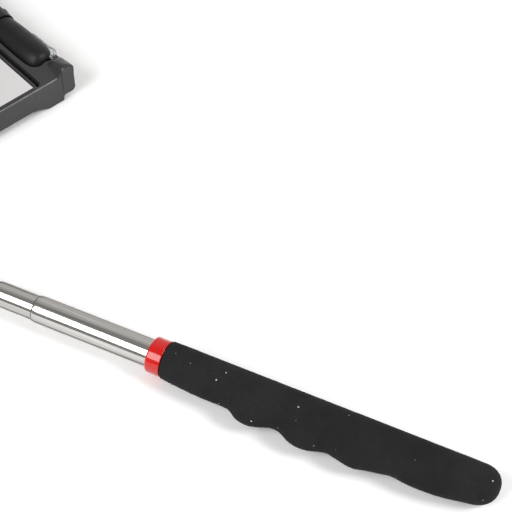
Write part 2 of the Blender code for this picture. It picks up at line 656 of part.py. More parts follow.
def make_lamp(parent, finishes):
    """Along its own X; Y is the way the light shines."""
    for side, name in ((-1, "left"), (1, "right")):
        outer = [(SPIGOT_START, SPIGOT_RADIUS), (RING_HALF + 0.3, SPIGOT_RADIUS)]
        outer += BARREL_CROWN + rounded_end(LAMP_RADIUS, LAMP_HALF)
        end_bore = PIN_RADIUS + 0.05
        inner = [(LAMP_HALF, end_bore), (LAMP_HALF - 1.4, end_bore)]
        inner += [(LAMP_HALF - 1.4, 3.2), (LAMP_HALF - 3.4, LAMP_RADIUS - LAMP_WALL - 0.7)]
        inner += [(LAMP_HALF - 6.4, SHELL_BORE), (SPIGOT_START, SHELL_BORE)]
        profile = [(side * x, r) for x, r in outer + inner]
        plastic = finishes["barrel_plastic"]
        shell = turned(f"lamp_shell_{name}", profile, parent, plastic, bored=True)
        low, high = LENS_MIDDLE - LENS_HALF, LENS_MIDDLE + LENS_HALF
        half_width = LENS_WIDTH / 2
        xs = sorted((side * (low - LENS_FIT), side * (high + LENS_FIT)))
        window = rectangle(3.0, -half_width - LENS_FIT, 9.0, half_width + LENS_FIT)
        combine(shell, prism(f"window_{name}", window, *xs, parent, None, "x"))
        shoulder = LENS_TOP - 1.0
        crown = [(shoulder, half_width), (LENS_BOTTOM, half_width), (LENS_BOTTOM, -half_width)]
        crown += [(shoulder, -half_width), (LENS_TOP - 0.25, -half_width + 0.7)]
        crown += [(LENS_TOP, 0), (LENS_TOP - 0.25, half_width - 0.7)]
        lens = prism(f"lamp_lens_{name}", crown, *sorted((side * low, side * high)),
                     parent, finishes["clear"], "x")
        bevel(lens, 0.3, 1)
        turned(f"led_{name}", LED, parent, finishes["clear"], SMALL_ROUND,
               location=(side * LED_X, 0, 0), turn=(0, 0, 90))
        board = sorted((side * BOARD_START, side * BOARD_END))
        prism(f"circuit_board_{name}", rectangle(0.9, -BOARD_HALF, 1.7, BOARD_HALF), *board,
              parent, finishes["circuit"], "x")
        pin = [(side * (LAMP_HALF - 2.6), 0), (side * (LAMP_HALF - 2.6), PIN_RADIUS)]
        pin += [(side * PIN_END, PIN_RADIUS), (side * PIN_END, 0)]
        turned(f"pivot_pin_{name}", pin, parent, finishes["steel"], SMALL_ROUND)
        middle = side * (LAMP_HALF + TROUGH_HALF) / 2
        section = arc(middle, FRICTION_RING_RADIUS, FRICTION_RING_SECTION, 0, 300, 5)
        turned(f"friction_ring_{name}", section, parent, finishes["rubber"], 16, bored=True)

    chamfer = 0.35
    ring = [(-RING_HALF, RING_BORE), (-RING_HALF, RING_RADIUS - chamfer)]
    ring += [(-RING_HALF + chamfer, RING_RADIUS), (RING_HALF - chamfer, RING_RADIUS)]
    ring += [(RING_HALF, RING_RADIUS - chamfer), (RING_HALF, RING_BORE)]
    middle = turned("centre_ring", ring, parent, finishes["barrel_plastic"], bored=True)
    along_y = {"turn": (0, 0, 90)}
    hole_radius = BUTTON_RADIUS + 0.2
    hole = [(3, 0), (3, hole_radius), (9, hole_radius), (9, 0)]
    combine(middle, turned("button_hole", hole, parent, None, 20, **along_y))
    button = [(BUTTON_BOTTOM, 0), (BUTTON_BOTTOM, BUTTON_RADIUS), (BUTTON_TOP - 0.3, BUTTON_RADIUS)]
    button += [(BUTTON_TOP, BUTTON_RADIUS - 0.4), (BUTTON_TOP, 0)]
    turned("switch_button", button, parent, finishes["rubber"], 20, **along_y)
    switch = rectangle(SWITCH_BOTTOM, -SWITCH_HALF, SWITCH_TOP, SWITCH_HALF)
    prism("switch_body", switch, -SWITCH_HALF, SWITCH_HALF, parent, finishes["black_plastic"], "x")

    pitch = CELL_THICKNESS + CELL_GAP
    for i in range(CELLS):
        start = (i - CELLS / 2) * pitch + 0.1
        end = start + CELL_THICKNESS
        cell = [(start, 0), (start, CELL_RADIUS - 0.6), (start + 0.4, CELL_RADIUS)]
        cell += [(end - 0.2, CELL_RADIUS), (end, CELL_RADIUS - 0.2), (end, 0)]
        turned(f"button_cell_{i + 1}", cell, parent, finishes["steel"], 16, location=(0, -CELL_DROP, 0))
    contact = CELLS / 2 * pitch + 0.2
    disc = [(contact, 0), (contact, CONTACT_RADIUS), (contact + 0.4, CONTACT_RADIUS)]
    disc += [(contact + 0.4, 0)]
    turned("contact_plate", disc, parent, finishes["brass"], 20, location=(0, -CELL_DROP, 0))
    make_contact_spring(parent, finishes["steel"], -contact)


def make_contact_spring(parent, finish, start):
    """A coil that presses the cells together, wound towards -X."""
    steps = 10
    curve = bpy.data.curves.new("contact_spring", "CURVE")
    curve.dimensions = "3D"
    curve.bevel_depth = SPRING_WIRE * MM
    curve.bevel_resolution = 1
    curve.use_fill_caps = True
    spline = curve.splines.new("POLY")
    count = int(SPRING_TURNS * steps)
    spline.points.add(count)
    for i in range(count + 1):
        angle = 2 * math.pi * i / steps
        along = start - SPRING_WIRE - 0.05 - SPRING_PITCH * i / steps
        across, up = SPRING_RADIUS * math.cos(angle), SPRING_RADIUS * math.sin(angle)
        spline.points[i].co = (along * MM, (across - CELL_DROP) * MM, up * MM, 1.0)
    spring = bpy.data.objects.new("contact_spring", curve)
    bpy.context.scene.collection.objects.link(spring)
    spring.parent = parent
    curve.materials.append(finish)


def stand_on_origin(root):
    """Moves the tool so that the middle of its box's bottom is the origin."""
    bpy.context.view_layer.update()
    graph = bpy.context.evaluated_depsgraph_get()
    corners = []
    for obj in bpy.context.scene.objects:
        if obj.type != "MESH" or obj.hide_render:
            continue
        shown = obj.evaluated_get(graph)
        corners += [shown.matrix_world @ Vector(corner) for corner in shown.bound_box]
    low = Vector([min(c[i] for c in corners) for i in range(3)])
    high = Vector([max(c[i] for c in corners) for i in range(3)])
    root.location -= Vector(((low.x + high.x) / 2, (low.y + high.y) / 2, low.z))


def main():
    clear_scene()
    finishes = make_materials()
    tool = empty("tool")
    mast = empty("mast", tool, (0, 0, AXIS_HEIGHT))
    make_grip(mast, finishes["foam"])
    make_collar(mast, finishes["red_plastic"])
    make_tubes(mast, finishes["steel"], finishes["brass"])
    ball_x = make_tip(mast, finishes["steel"], finishes["brass"])

    link = empty("link", mast, (ball_x, 0, 0), turn_z=180 - LINK_BEND)
    make_link(link, finishes["steel"])
    head_joint = empty("head_joint", link, (LINK_LENGTH, 0, 0), turn_z=-90 - HEAD_BEND)
    make_head_stud(head_joint, finishes["steel"])
    head = empty("head", head_joint, (0, HEAD_REACH, 0))
    make_housing(head, finishes["black_plastic"])
    make_mirror(head, finishes)
    make_cover(head, finishes["black_plastic"], finishes["steel"])
    lamp = empty("lamp", head, (0, LAMP_Y, LAMP_Z), turn_x=LENS_ANGLE)
    make_lamp(lamp, finishes)
    stand_on_origin(tool)


main()
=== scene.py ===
"""Looks of the telescoping inspection mirror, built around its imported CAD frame.

Sizes are in millimetres and angles in degrees, and MM turns a length into Blender's metres.
Each piece is modelled in the axes of the sub-assembly that it belongs to. Those axes come from
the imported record's joints, and the main sizes from the boxes of the CAD nodes.
"""

import json
import math

import bmesh
import bpy
from mathutils import Matrix, Vector, noise


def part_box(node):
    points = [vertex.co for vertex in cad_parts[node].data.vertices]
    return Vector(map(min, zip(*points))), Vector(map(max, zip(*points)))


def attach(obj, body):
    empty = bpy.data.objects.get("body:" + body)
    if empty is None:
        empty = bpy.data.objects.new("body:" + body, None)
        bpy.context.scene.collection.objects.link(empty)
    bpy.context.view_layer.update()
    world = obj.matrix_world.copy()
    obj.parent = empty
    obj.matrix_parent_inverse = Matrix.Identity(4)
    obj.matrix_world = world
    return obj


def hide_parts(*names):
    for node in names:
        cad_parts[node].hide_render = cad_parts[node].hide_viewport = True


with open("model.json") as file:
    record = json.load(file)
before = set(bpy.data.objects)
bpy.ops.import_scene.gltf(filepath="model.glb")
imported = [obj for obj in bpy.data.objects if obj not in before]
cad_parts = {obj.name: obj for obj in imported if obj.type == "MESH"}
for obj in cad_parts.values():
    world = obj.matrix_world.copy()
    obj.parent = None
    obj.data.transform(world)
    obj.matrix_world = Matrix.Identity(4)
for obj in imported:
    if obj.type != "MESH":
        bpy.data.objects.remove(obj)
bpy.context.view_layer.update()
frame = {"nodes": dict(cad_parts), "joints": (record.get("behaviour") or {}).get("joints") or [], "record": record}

MM = 0.001
ROUND = 96  # sides of a turned piece
SMALL_ROUND = 48
BODIES = frame["record"]["behaviour"]["bodies"]
BODY_OF = {node: body for body, nodes in BODIES.items() for node in nodes}
JOINTS = {joint["name"]: joint for joint in frame["joints"]}
TURN_TO_Y = Matrix.Rotation(math.radians(90), 4, "Z")  # a turned piece's axis, from X to Y
TURN_TO_Z = Matrix.Rotation(math.radians(-90), 4, "Y")


# ---------------------------------------------------------------- frames

def axes(origin, along_x, along_y):
    """The matrix of a sub-assembly whose X is along_x and whose Y is as near along_y as can be."""
    x = Vector(along_x).normalized()
    z = x.cross(Vector(along_y)).normalized()
    turn = Matrix((x, z.cross(x), z)).transposed().to_4x4()
    return Matrix.Translation(origin) @ turn


def extents(node, place):
    """Lowest and highest corner of a CAD node in a sub-assembly's own axes, in millimetres."""
    back = place.inverted()
    points = [(back @ vertex.co) / MM for vertex in frame["nodes"][node].data.vertices]
    low = Vector([min(point[i] for point in points) for i in range(3)])
    high = Vector([max(point[i] for point in points) for i in range(3)])
    return low, high


def mast_frame():
    """Its origin is on the mast's axis at the collar's front face, and X runs towards the butt."""
    low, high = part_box("tube_1")
    middle = (low + high) / 2
    return Matrix.Translation((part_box("red_collar")[0].x, middle.y, middle.z))


MAST = mast_frame()
TIP_BALL = Vector(JOINTS["lower_tilt"]["pos_m"])
HEAD_BALL = Vector(JOINTS["upper_tilt"]["pos_m"])
LINK = axes(TIP_BALL, HEAD_BALL - TIP_BALL, Vector((0, 0, 1)).cross(HEAD_BALL - TIP_BALL))
LAMP_AXIS = Vector(JOINTS["lamp_turn"]["axis"])
HEAD_AXIS = Vector(JOINTS["head_swivel"]["axis"])
STUD = axes(HEAD_BALL, LAMP_AXIS, HEAD_AXIS)
HEAD = axes(JOINTS["head_swivel"]["pos_m"], LAMP_AXIS, HEAD_AXIS)
LAMP = axes(JOINTS["lamp_turn"]["pos_m"], LAMP_AXIS, -Vector(JOINTS["switch_press"]["axis"]))


# ---------------------------------------------------------------- outlines

def arc(cx, cy, radius, start, end, steps):
    """Points round a centre, from the angle start to the angle end."""
    angles = [math.radians(start + (end - start) * i / steps) for i in range(steps + 1)]
    return [(cx + radius * math.cos(a), cy + radius * math.sin(a)) for a in angles]


def rounded(points, steps=5):
    """An outline in which a point's third value is the radius that its corner is rounded to."""
    made = []
    for i, point in enumerate(points):
        here = Vector(point[:2])
        if len(point) == 2:
            made.append(tuple(here))
            continue
        before = (Vector(points[i - 1][:2]) - here).normalized()
        after = (Vector(points[(i + 1) % len(points)][:2]) - here).normalized()
        half = before.angle(after) / 2
        centre = here + (before + after).normalized() * (point[2] / math.sin(half))
        start = here + before * (point[2] / math.tan(half)) - centre
        end = here + after * (point[2] / math.tan(half)) - centre
        first = math.degrees(math.atan2(start.y, start.x))
        sweep = (math.degrees(math.atan2(end.y, end.x)) - first + 180) % 360 - 180
        made += arc(centre.x, centre.y, point[2], first, first + sweep, steps)
    return made


def rectangle(low_x, low_y, high_x, high_y, radius=0.0, steps=5):
    corners = [(low_x, low_y), (high_x, low_y), (high_x, high_y), (low_x, high_y)]
    return rounded([(*corner, radius) for corner in corners], steps) if radius else corners


def smooth_value(keys, x):
    """Reads a list of (x, value) as a smooth curve through its points."""
    if x <= keys[0][0]:
        return keys[0][1]
    if x >= keys[-1][0]:
        return keys[-1][1]
    i = next(i for i in range(len(keys) - 1) if keys[i + 1][0] >= x)
    (x0, v0), (x1, v1) = keys[i], keys[i + 1]
    before, after = keys[max(i - 1, 0)], keys[min(i + 2, len(keys) - 1)]
    span = x1 - x0
    slope_0 = (v1 - before[1]) / (x1 - before[0])
    slope_1 = (after[1] - v0) / (after[0] - x0)
    t = (x - x0) / span
    return (
        (2 * t**3 - 3 * t**2 + 1) * v0
        + (t**3 - 2 * t**2 + t) * span * slope_0
        + (3 * t**2 - 2 * t**3) * v1
        + (t**3 - t**2) * span * slope_1
    )


def circle(sides):
    """The angles of a round ring's points, in radians, with flats on the axes."""
    return [2 * math.pi * (i + 0.5) / sides for i in range(sides)]


def sphere_profile(radius):
    """A half circle from pole to pole, for turning about X."""
    return [(radius, 0)] + arc(0, 0, radius, 0, 180, 40)[1:-1] + [(-radius, 0)]


BALL_RADIUS = 4.5
BALL_NECK = 2.0


def ball_profile(centre):
    """From a ball's far pole to where its neck leaves it, along +X."""
    last = math.degrees(math.asin(BALL_NECK / BALL_RADIUS))
    return [(centre - BALL_RADIUS, 0)] + arc(centre, 0, BALL_RADIUS, 180, last, 32)[1:]


# ---------------------------------------------------------------- meshes

def loft(rings, closed=False, capped=False):
    """Skins rings of points. A ring of one point is a pole, and a closed loft joins its ends."""
    bm = bmesh.new()
    made = [[bm.verts.new(point) for point in ring] for ring in rings]
    pairs = list(zip(made, made[1:]))
    if closed:
        pairs.append((made[-1], made[0]))
    for first, second in pairs:
        sides = max(len(first), len(second))
        for i in range(sides):
            j = (i + 1) % sides
            corners = [first[i % len(first)], first[j % len(first)]]
            corners += [second[j % len(second)], second[i % len(second)]]
            bm.faces.new(list(dict.fromkeys(corners)))
    if capped:
        bm.faces.new(made[0])
        bm.faces.new(made[-1])
    return bm


def lathe(profile, at=(0, 0, 0), turn=None, sides=ROUND, closed=False):
    """A profile of (distance along X, radius) turned about X, then put on another axis and moved."""
    angles = circle(sides)
    rings = []
    for along, radius in profile:
        if radius:
            rings.append([(along, radius * math.cos(a), radius * math.sin(a)) for a in angles])
        else:
            rings.append([(along, 0, 0)])
    bm = loft(rings, closed)
    bm.transform(Matrix.Translation(at) @ (turn or Matrix.Identity(4)))
    return bm


def prism(outline, low, high, axis="z"):
    """An outline extruded along an axis; its points are in the other two axes, in X, Y, Z order."""
    at = {
        "x": lambda p, h: (h, p[0], p[1]),
        "y": lambda p, h: (p[0], h, p[1]),
        "z": lambda p, h: (p[0], p[1], h),
    }[axis]
    bm = bmesh.new()
    face = bm.faces.new([bm.verts.new(at(point, low)) for point in outline])
    made = bmesh.ops.extrude_face_region(bm, geom=[face])
    moved = [item for item in made["geom"] if isinstance(item, bmesh.types.BMVert)]
    bmesh.ops.translate(bm, vec=Vector(at((0, 0), high - low)), verts=moved)
    return bm


def placed(name, data):
    """A new object of the scene that shows the data."""
    obj = bpy.data.objects.new(name, data)
    bpy.context.scene.collection.objects.link(obj)
    return obj


def solid(name, bm, place, finish=None):
    """Turns a bmesh in millimetres into an object in a sub-assembly's axes."""
    bmesh.ops.recalc_face_normals(bm, faces=bm.faces)
    bmesh.ops.scale(bm, vec=(MM, MM, MM), verts=bm.verts)
    mesh = bpy.data.meshes.new(name)
    bm.to_mesh(mesh)
    bm.free()
    obj = placed(name, mesh)
    obj.matrix_world = place
    if finish:
        mesh.materials.append(finish)
    return obj


def apply_modifiers(obj):
    bpy.context.view_layer.update()
    shown = obj.evaluated_get(bpy.context.evaluated_depsgraph_get())
    obj.data = bpy.data.meshes.new_from_object(shown)
    obj.modifiers.clear()


def bevel(obj, width, segments=3, angle=50.0):
    made = obj.modifiers.new("edges", "BEVEL")
    made.width = width * MM
    made.segments = segments
    made.limit_method = "ANGLE"
    made.angle_limit = math.radians(angle)
    made.use_clamp_overlap = False
    made.miter_outer = "MITER_ARC"
    apply_modifiers(obj)


def carve(obj, bm, operation="DIFFERENCE"):
    """Cuts or adds a shape that is in the object's own axes, and keeps nothing of the tool."""
    tool = solid("tool", bm, obj.matrix_world)
    made = obj.modifiers.new("carve", "BOOLEAN")
    made.operation = operation
    made.object = tool
    made.solver = "EXACT"
    apply_modifiers(obj)
    bpy.data.objects.remove(tool, do_unlink=True)


def clean_up(obj, short=0.04, flat=0.6):
    """Joins points closer than short, in millimetres, and merges faces within flat degrees."""
    bm = bmesh.new()
    bm.from_mesh(obj.data)
    bmesh.ops.remove_doubles(bm, verts=bm.verts, dist=short * MM)
    bmesh.ops.dissolve_limit(bm, angle_limit=math.radians(flat), verts=bm.verts, edges=bm.edges)
    bm.to_mesh(obj.data)
    bm.free()


def shade(obj, angle=40.0):
    """Smooth shading that keeps flat faces flat and edges sharper than angle crisp."""
    obj.data.shade_smooth()
    obj.data.set_sharp_from_angle(angle=math.radians(angle))
    weighted = obj.modifiers.new("normals", "WEIGHTED_NORMAL")
    weighted.keep_sharp = True
    apply_modifiers(obj)


def show(obj, nodes, angle=40.0):
    """Shades a finished piece and lets it stand for its CAD nodes, on their body."""
    shade(obj, angle)
    names = [nodes] if isinstance(nodes, str) else list(nodes)
    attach(obj, BODY_OF[names[0]])
    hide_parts(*names)
    return obj


# ---------------------------------------------------------------- materials

MIX_A, MIX_B, MIX_RESULT = 6, 7, 2  # a Mix node's colour sockets


class Finish:
    """A Principled material, with short ways to give it detail in object space."""

    def __init__(self, name, **inputs):
        self.material = bpy.data.materials.new(name)
        self.material.use_nodes = True
        self.tree = self.material.node_tree
        self.shader = self.tree.nodes["Principled BSDF"]
        for socket, value in inputs.items():
            self.shader.inputs[socket.replace("_", " ")].default_value = value
        self.space = self.node("ShaderNodeTexCoord").outputs["Object"]

    def node(self, kind, **settings):
        made = self.tree.nodes.new(kind)
        for key, value in settings.items():
            setattr(made, key, value)
        return made

    def join(self, value, socket):
        """Links an output to a socket, or sets the socket to a number or a colour."""
        if isinstance(value, bpy.types.NodeSocket):
            self.tree.links.new(value, socket)
        else:
            socket.default_value = value

    def stretched(self, stretch):
        made = self.node("ShaderNodeMapping")
        self.join(self.space, made.inputs["Vector"])
        made.inputs["Scale"].default_value = stretch
        return made.outputs["Vector"]

    def noise(self, size, detail=4.0, stretch=None, roughness=0.55):
        """Noise in patches of about size millimetres, which stretch divides along each axis."""
        made = self.node("ShaderNodeTexNoise")
        self.join(self.stretched(stretch) if stretch else self.space, made.inputs["Vector"])
        made.inputs["Scale"].default_value = 1 / (size * MM)
        made.inputs["Detail"].default_value = detail
        made.inputs["Roughness"].default_value = roughness
        return made.outputs["Fac"]

    def cells(self, size, feature="F1"):
        """Distance from the nearest of points spaced about size millimetres, or from cell edges."""
        made = self.node("ShaderNodeTexVoronoi", feature=feature)
        self.join(self.space, made.inputs["Vector"])
        made.inputs["Scale"].default_value = 1 / (size * MM)
        return made.outputs["Distance"]

    def between(self, value, low, high, to_low, to_high):
        """Maps a value that runs from low to high onto to_low to to_high, and holds it there."""
        made = self.node("ShaderNodeMapRange")
        for socket, number in zip(made.inputs, (value, low, high, to_low, to_high)):
            self.join(number, socket)
        return made.outputs["Result"]

    def maths(self, operation, first, second):
        made = self.node("ShaderNodeMath", operation=operation)
        self.join(first, made.inputs[0])
        self.join(second, made.inputs[1])
        return made.outputs["Value"]

    def mix(self, share, first, second):
        """A colour between two colours, or between an output and a colour."""
        made = self.node("ShaderNodeMix", data_type="RGBA")
        self.join(share, made.inputs["Factor"])
        for colour, socket in ((first, made.inputs[MIX_A]), (second, made.inputs[MIX_B])):
            self.join(colour if isinstance(colour, bpy.types.NodeSocket) else (*colour, 1.0), socket)
        return made.outputs[MIX_RESULT]

    def colour(self, share, first, second):
        self.join(self.mix(share, first, second), self.shader.inputs["Base Color"])

    def roughness(self, value, smooth, dull, low=0.3, high=0.7):
        """Runs from smooth to dull while the value runs from low to high."""
        self.join(self.between(value, low, high, smooth, dull), self.shader.inputs["Roughness"])

    def bumps(self, *layers):
        """Each layer is (height, depth in millimetres)."""
        normal = None
        for height, depth in layers:
            made = self.node("ShaderNodeBump")
            made.inputs["Distance"].default_value = depth * MM
            self.join(height, made.inputs["Height"])
            if normal:
                self.join(normal, made.inputs["Normal"])
            normal = made.outputs["Normal"]
        self.join(normal, self.shader.inputs["Normal"])
        return self.material


def make_foam():
    """Closed-cell foam: a fine matte grain, cloudy handling marks and a few specks of dust."""
    made = Finish("foam", Specular_IOR_Level=0.16)
    clouds = made.between(made.noise(14, 5), 0.35, 0.68, 0, 1)
    grain = made.noise(0.45, 3)
    base = made.mix(clouds, (0.0115, 0.0112, 0.0118), (0.0170, 0.0166, 0.0172))
    base = made.mix(made.between(grain, 0.30, 0.55, 0.55, 0.0), base, (0.0055, 0.0055, 0.0057))
    dust = made.between(made.cells(4.6), 0.050, 0.078, 1, 0)
    shown = made.between(made.noise(3.1, 2), 0.44, 0.56, 0, 1)
    specks = made.maths("MULTIPLY", dust, shown)
    made.colour(specks, base, (0.42, 0.415, 0.41))
    made.roughness(made.noise(5, 3), 0.82, 0.96)
    return made.bumps((grain, 0.10), (made.noise(2.4, 3), 0.10))


def make_red():
    """Glossy moulded plastic with faint flow marks."""
    made = Finish("red_plastic", Specular_IOR_Level=0.28, Coat_Weight=0.45, Coat_Roughness=0.05)
    flow = made.between(made.noise(4, 3), 0.35, 0.65, 0, 1)
    made.colour(flow, (0.45, 0.0040, 0.0036), (0.53, 0.0070, 0.0055))
    made.roughness(made.noise(1.2, 4, (1, 6, 6)), 0.09, 0.16)
    return made.bumps((made.noise(0.8, 2), 0.006), (made.noise(3.5, 2), 0.012))


def make_stainless():
    """Drawn tube: fine lines along its length, with faint smudges from sliding and handling."""
    made = Finish("stainless", Metallic=1.0, Specular_Tint=(0.22, 0.21, 0.20, 1.0))
    lines = made.noise(0.35, 4, (0.010, 1, 1))
    smudge = made.between(made.noise(9, 4, (0.35, 1, 1)), 0.38, 0.66, 0, 1)
    streaks = made.between(lines, 0.34, 0.66, 0, 1)
    base = made.mix(streaks, (0.44, 0.426, 0.412), (0.62, 0.607, 0.59))
    made.colour(made.maths("MULTIPLY", smudge, 0.35), base, (0.43, 0.41, 0.385))
    rough = made.between(lines, 0.3, 0.7, 0.07, 0.13)
    rough = made.maths("ADD", rough, made.maths("MULTIPLY", smudge, 0.05))
    made.join(rough, made.shader.inputs["Roughness"])
    return made.bumps((lines, 0.004))


def make_painted_mouth_shade():
    """The tubes' rolled-in edges, painted dark: painted shade that stands in for the shaded line where the next
    tube comes out of the mouth.
    """
    made = Finish("tube_edge", Specular_IOR_Level=0.25)
    mottle = made.between(made.noise(1.1, 4), 0.35, 0.65, 0, 1)
    # painted shade: a dark, dull colour that stands in for the shade along each tube's mouth
    made.colour(mottle, (0.045, 0.043, 0.041), (0.10, 0.096, 0.091))
    made.roughness(mottle, 0.45, 0.65, 0, 1)
    return made.bumps((made.noise(0.3, 2), 0.006))


def make_plated():
    """Nickel-plated steel: slightly cloudy, with worn patches."""
    made = Finish("plated_steel", Metallic=1.0)
    wear = made.between(made.noise(2.2, 5), 0.42, 0.68, 0, 1)
    made.colour(wear, (0.60, 0.585, 0.56), (0.44, 0.42, 0.395))
    made.roughness(made.noise(0.9, 4), 0.16, 0.34)
    return made.bumps((made.noise(0.6, 2), 0.002), (made.noise(3.5, 2), 0.01))


def make_brass():
    """Turned brass with darker stains."""
    made = Finish("brass", Metallic=1.0)
    stain = made.between(made.noise(2.5, 5), 0.4, 0.7, 0, 1)
    made.colour(stain, (0.72, 0.52, 0.24), (0.46, 0.30, 0.13))
    made.roughness(made.noise(0.8, 3), 0.22, 0.42)
    return made.bumps((made.noise(0.3, 3, (0.2, 1, 1)), 0.008))


def make_plastic(name, dark, light, smooth, dull, grain_depth, specular):
    """Moulded black plastic: a fine spark-eroded grain, cloudy wear and small pale scuffs."""
    made = Finish(name, Specular_IOR_Level=specular)
    clouds = made.between(made.noise(11, 5), 0.36, 0.68, 0, 1)
    base = made.mix(clouds, dark, light)
    scuffs = made.between(made.noise(1.6, 6, (0.25, 1, 1), 0.7), 0.70, 0.80, 0, 0.35)
    made.colour(scuffs, base, tuple(3 * value for value in light))
    made.roughness(made.noise(3.2, 4), smooth, dull)
    return made.bumps((made.noise(0.30, 3), grain_depth), (made.noise(6, 2), 0.03))


def make_mirror():
    """Silvered glass with the faintest haze of fingerprints."""
    made = Finish("mirror_silver", Metallic=1.0)
    haze = made.between(made.noise(16, 5), 0.42, 0.72, 0, 1)
    made.colour(haze, (0.93, 0.925, 0.935), (0.90, 0.895, 0.905))
    made.roughness(haze, 0.012, 0.045, 0, 1)
    return made.material


def make_glass_edge():
    """The glass's greenish ground edge, with paler chips."""
    made = Finish("glass_edge", Transmission_Weight=0.4, IOR=1.52)
    chips = made.between(made.noise(0.5, 4), 0.45, 0.7, 0, 1)
    made.colour(chips, (0.16, 0.32, 0.27), (0.42, 0.52, 0.48))
    made.roughness(chips, 0.12, 0.4, 0, 1)
    return made.bumps((made.noise(0.4, 3), 0.03))


def make_clear():
    """Clear acrylic with cloudy patches and flow lines."""
    made = Finish("clear_plastic", Transmission_Weight=0.78, IOR=1.49)
    made.colour(made.noise(3, 3), (0.72, 0.74, 0.75), (0.84, 0.86, 0.87))
    made.roughness(made.noise(1.1, 4, (0.3, 1, 1)), 0.08, 0.16)
    return made.bumps((made.noise(1.8, 2), 0.002))


def make_led():
    """Epoxy dome over a yellow phosphor."""
    made = Finish("led_epoxy", Transmission_Weight=0.35, IOR=1.5)
    made.colour(made.noise(0.7, 2), (0.86, 0.74, 0.22), (0.95, 0.90, 0.62))
    made.roughness(made.noise(0.6, 2), 0.05, 0.16)
    return made.bumps((made.noise(0.5, 2), 0.008))


def make_pad():
    """Open-cell grey foam."""
    made = Finish("pad_foam", Specular_IOR_Level=0.2)
    pores = made.between(made.cells(0.7), 0.05, 0.5, 0, 1)
    made.colour(pores, (0.10, 0.10, 0.105), (0.27, 0.27, 0.28))
    made.roughness(made.noise(2, 3), 0.88, 0.98)
    return made.bumps((pores, 0.12))


def make_circuit():
    """Green solder mask over raised tracks."""
    made = Finish("circuit_board")
    tracks = made.between(made.cells(2.4, "DISTANCE_TO_EDGE"), 0.06, 0.09, 1, 0)
    made.colour(tracks, (0.010, 0.12, 0.045), (0.05, 0.28, 0.10))
    made.roughness(made.noise(0.8, 3), 0.25, 0.45)
    return made.bumps((tracks, 0.04))


def make_rubber():
    """Black rubber with a pale bloom."""
    made = Finish("soft_rubber", Specular_IOR_Level=0.35)
    bloom = made.between(made.noise(1.8, 5), 0.4, 0.7, 0, 1)
    made.colour(bloom, (0.016, 0.016, 0.017), (0.045, 0.044, 0.046))
    made.roughness(made.noise(0.7, 3), 0.55, 0.8)
    return made.bumps((made.noise(0.18, 2), 0.015))


def make_floor_finish():
    """Matt white board."""
    made = Finish("floor", Specular_IOR_Level=0.1)
    made.colour(made.noise(60, 4), (0.95, 0.95, 0.95), (0.97, 0.97, 0.97))
    made.roughness(made.noise(25, 3), 0.75, 0.9)
    return made.material


FOAM = make_foam()
RED = make_red()
STAINLESS = make_stainless()
# painted shade for the tubes' rolled-in mouths
PAINTED_MOUTH_SHADE = make_painted_mouth_shade()
PLATED = make_plated()
BRASS = make_brass()
BLACK = make_plastic(
    "head_plastic", (0.0235, 0.0222, 0.0243), (0.0325, 0.0308, 0.0335), 0.27, 0.39, 0.010, 0.40)
GLOSSY_BLACK = make_plastic(
    "barrel_plastic", (0.0055, 0.0053, 0.0057), (0.0085, 0.0083, 0.0088), 0.40, 0.52, 0.006, 0.28)
MIRROR = make_mirror()
GLASS_EDGE = make_glass_edge()
CLEAR = make_clear()
LED = make_led()
PAD = make_pad()
CIRCUIT = make_circuit()
RUBBER = make_rubber()


# ---------------------------------------------------------------- handle and mast

BELLY = (
    (0.0, 6.9), (8.0, 7.9), (18.0, 8.5), (27.0, 8.7), (31.4, 11.3), (35.9, 12.1),
    (39.6, 11.1), (43.2, 9.4), (46.6, 9.6), (51.1, 11.9), (54.5, 12.7), (58.3, 12.5),
    (64.1, 10.6), (68.8, 11.4), (72.2, 12.1), (75.3, 12.3), (78.3, 11.4), (83.1, 10.4),
    (87.4, 9.4), (91.5, 10.0), (97.8, 10.3), (105.8, 9.7), (113.8, 8.0), (122.4, 6.6),
)  # depth towards -Y at distances from the grip's front, which the finger grooves shape
GRIP_ROUNDING = 7.6
BUTT_SHARPNESS = 2.3
GRIP_STEP = 1.0
GRIP_EDGE = 0.5
GRIP_BORE = 5.3
GRIP_BORE_LENGTH = 111.0
GRIP_SIDE_START = 1.0  # where the even rings along the grip begin
BUTT_STEPS = 24
FOAM_UNEVENNESS = 0.05
COARSE_WAVE, FINE_WAVE = 0.22, 0.6  # waves per millimetre in the foam's skin, about


def grip_ring(radius, along, shrink=1.0, inset=0.0):
    """A ring of the grip's slightly uneven skin, as deep towards -Y as the belly is there."""
    depth = smooth_value(BELLY, along)
    points = []
    for angle in circle(ROUND):
        across, up = math.cos(angle), math.sin(angle)
        reach = (radius if across > 0 else depth) * shrink - inset
        point = Vector((along, reach * across, (radius * shrink - inset) * up))
        wave = noise.noise(point * COARSE_WAVE) + 0.5 * noise.noise(point * FINE_WAVE)
        out = Vector((0, across, up)) * (wave * FOAM_UNEVENNESS * min(1.0, shrink * 2))
        points.append(point + out)
    return points


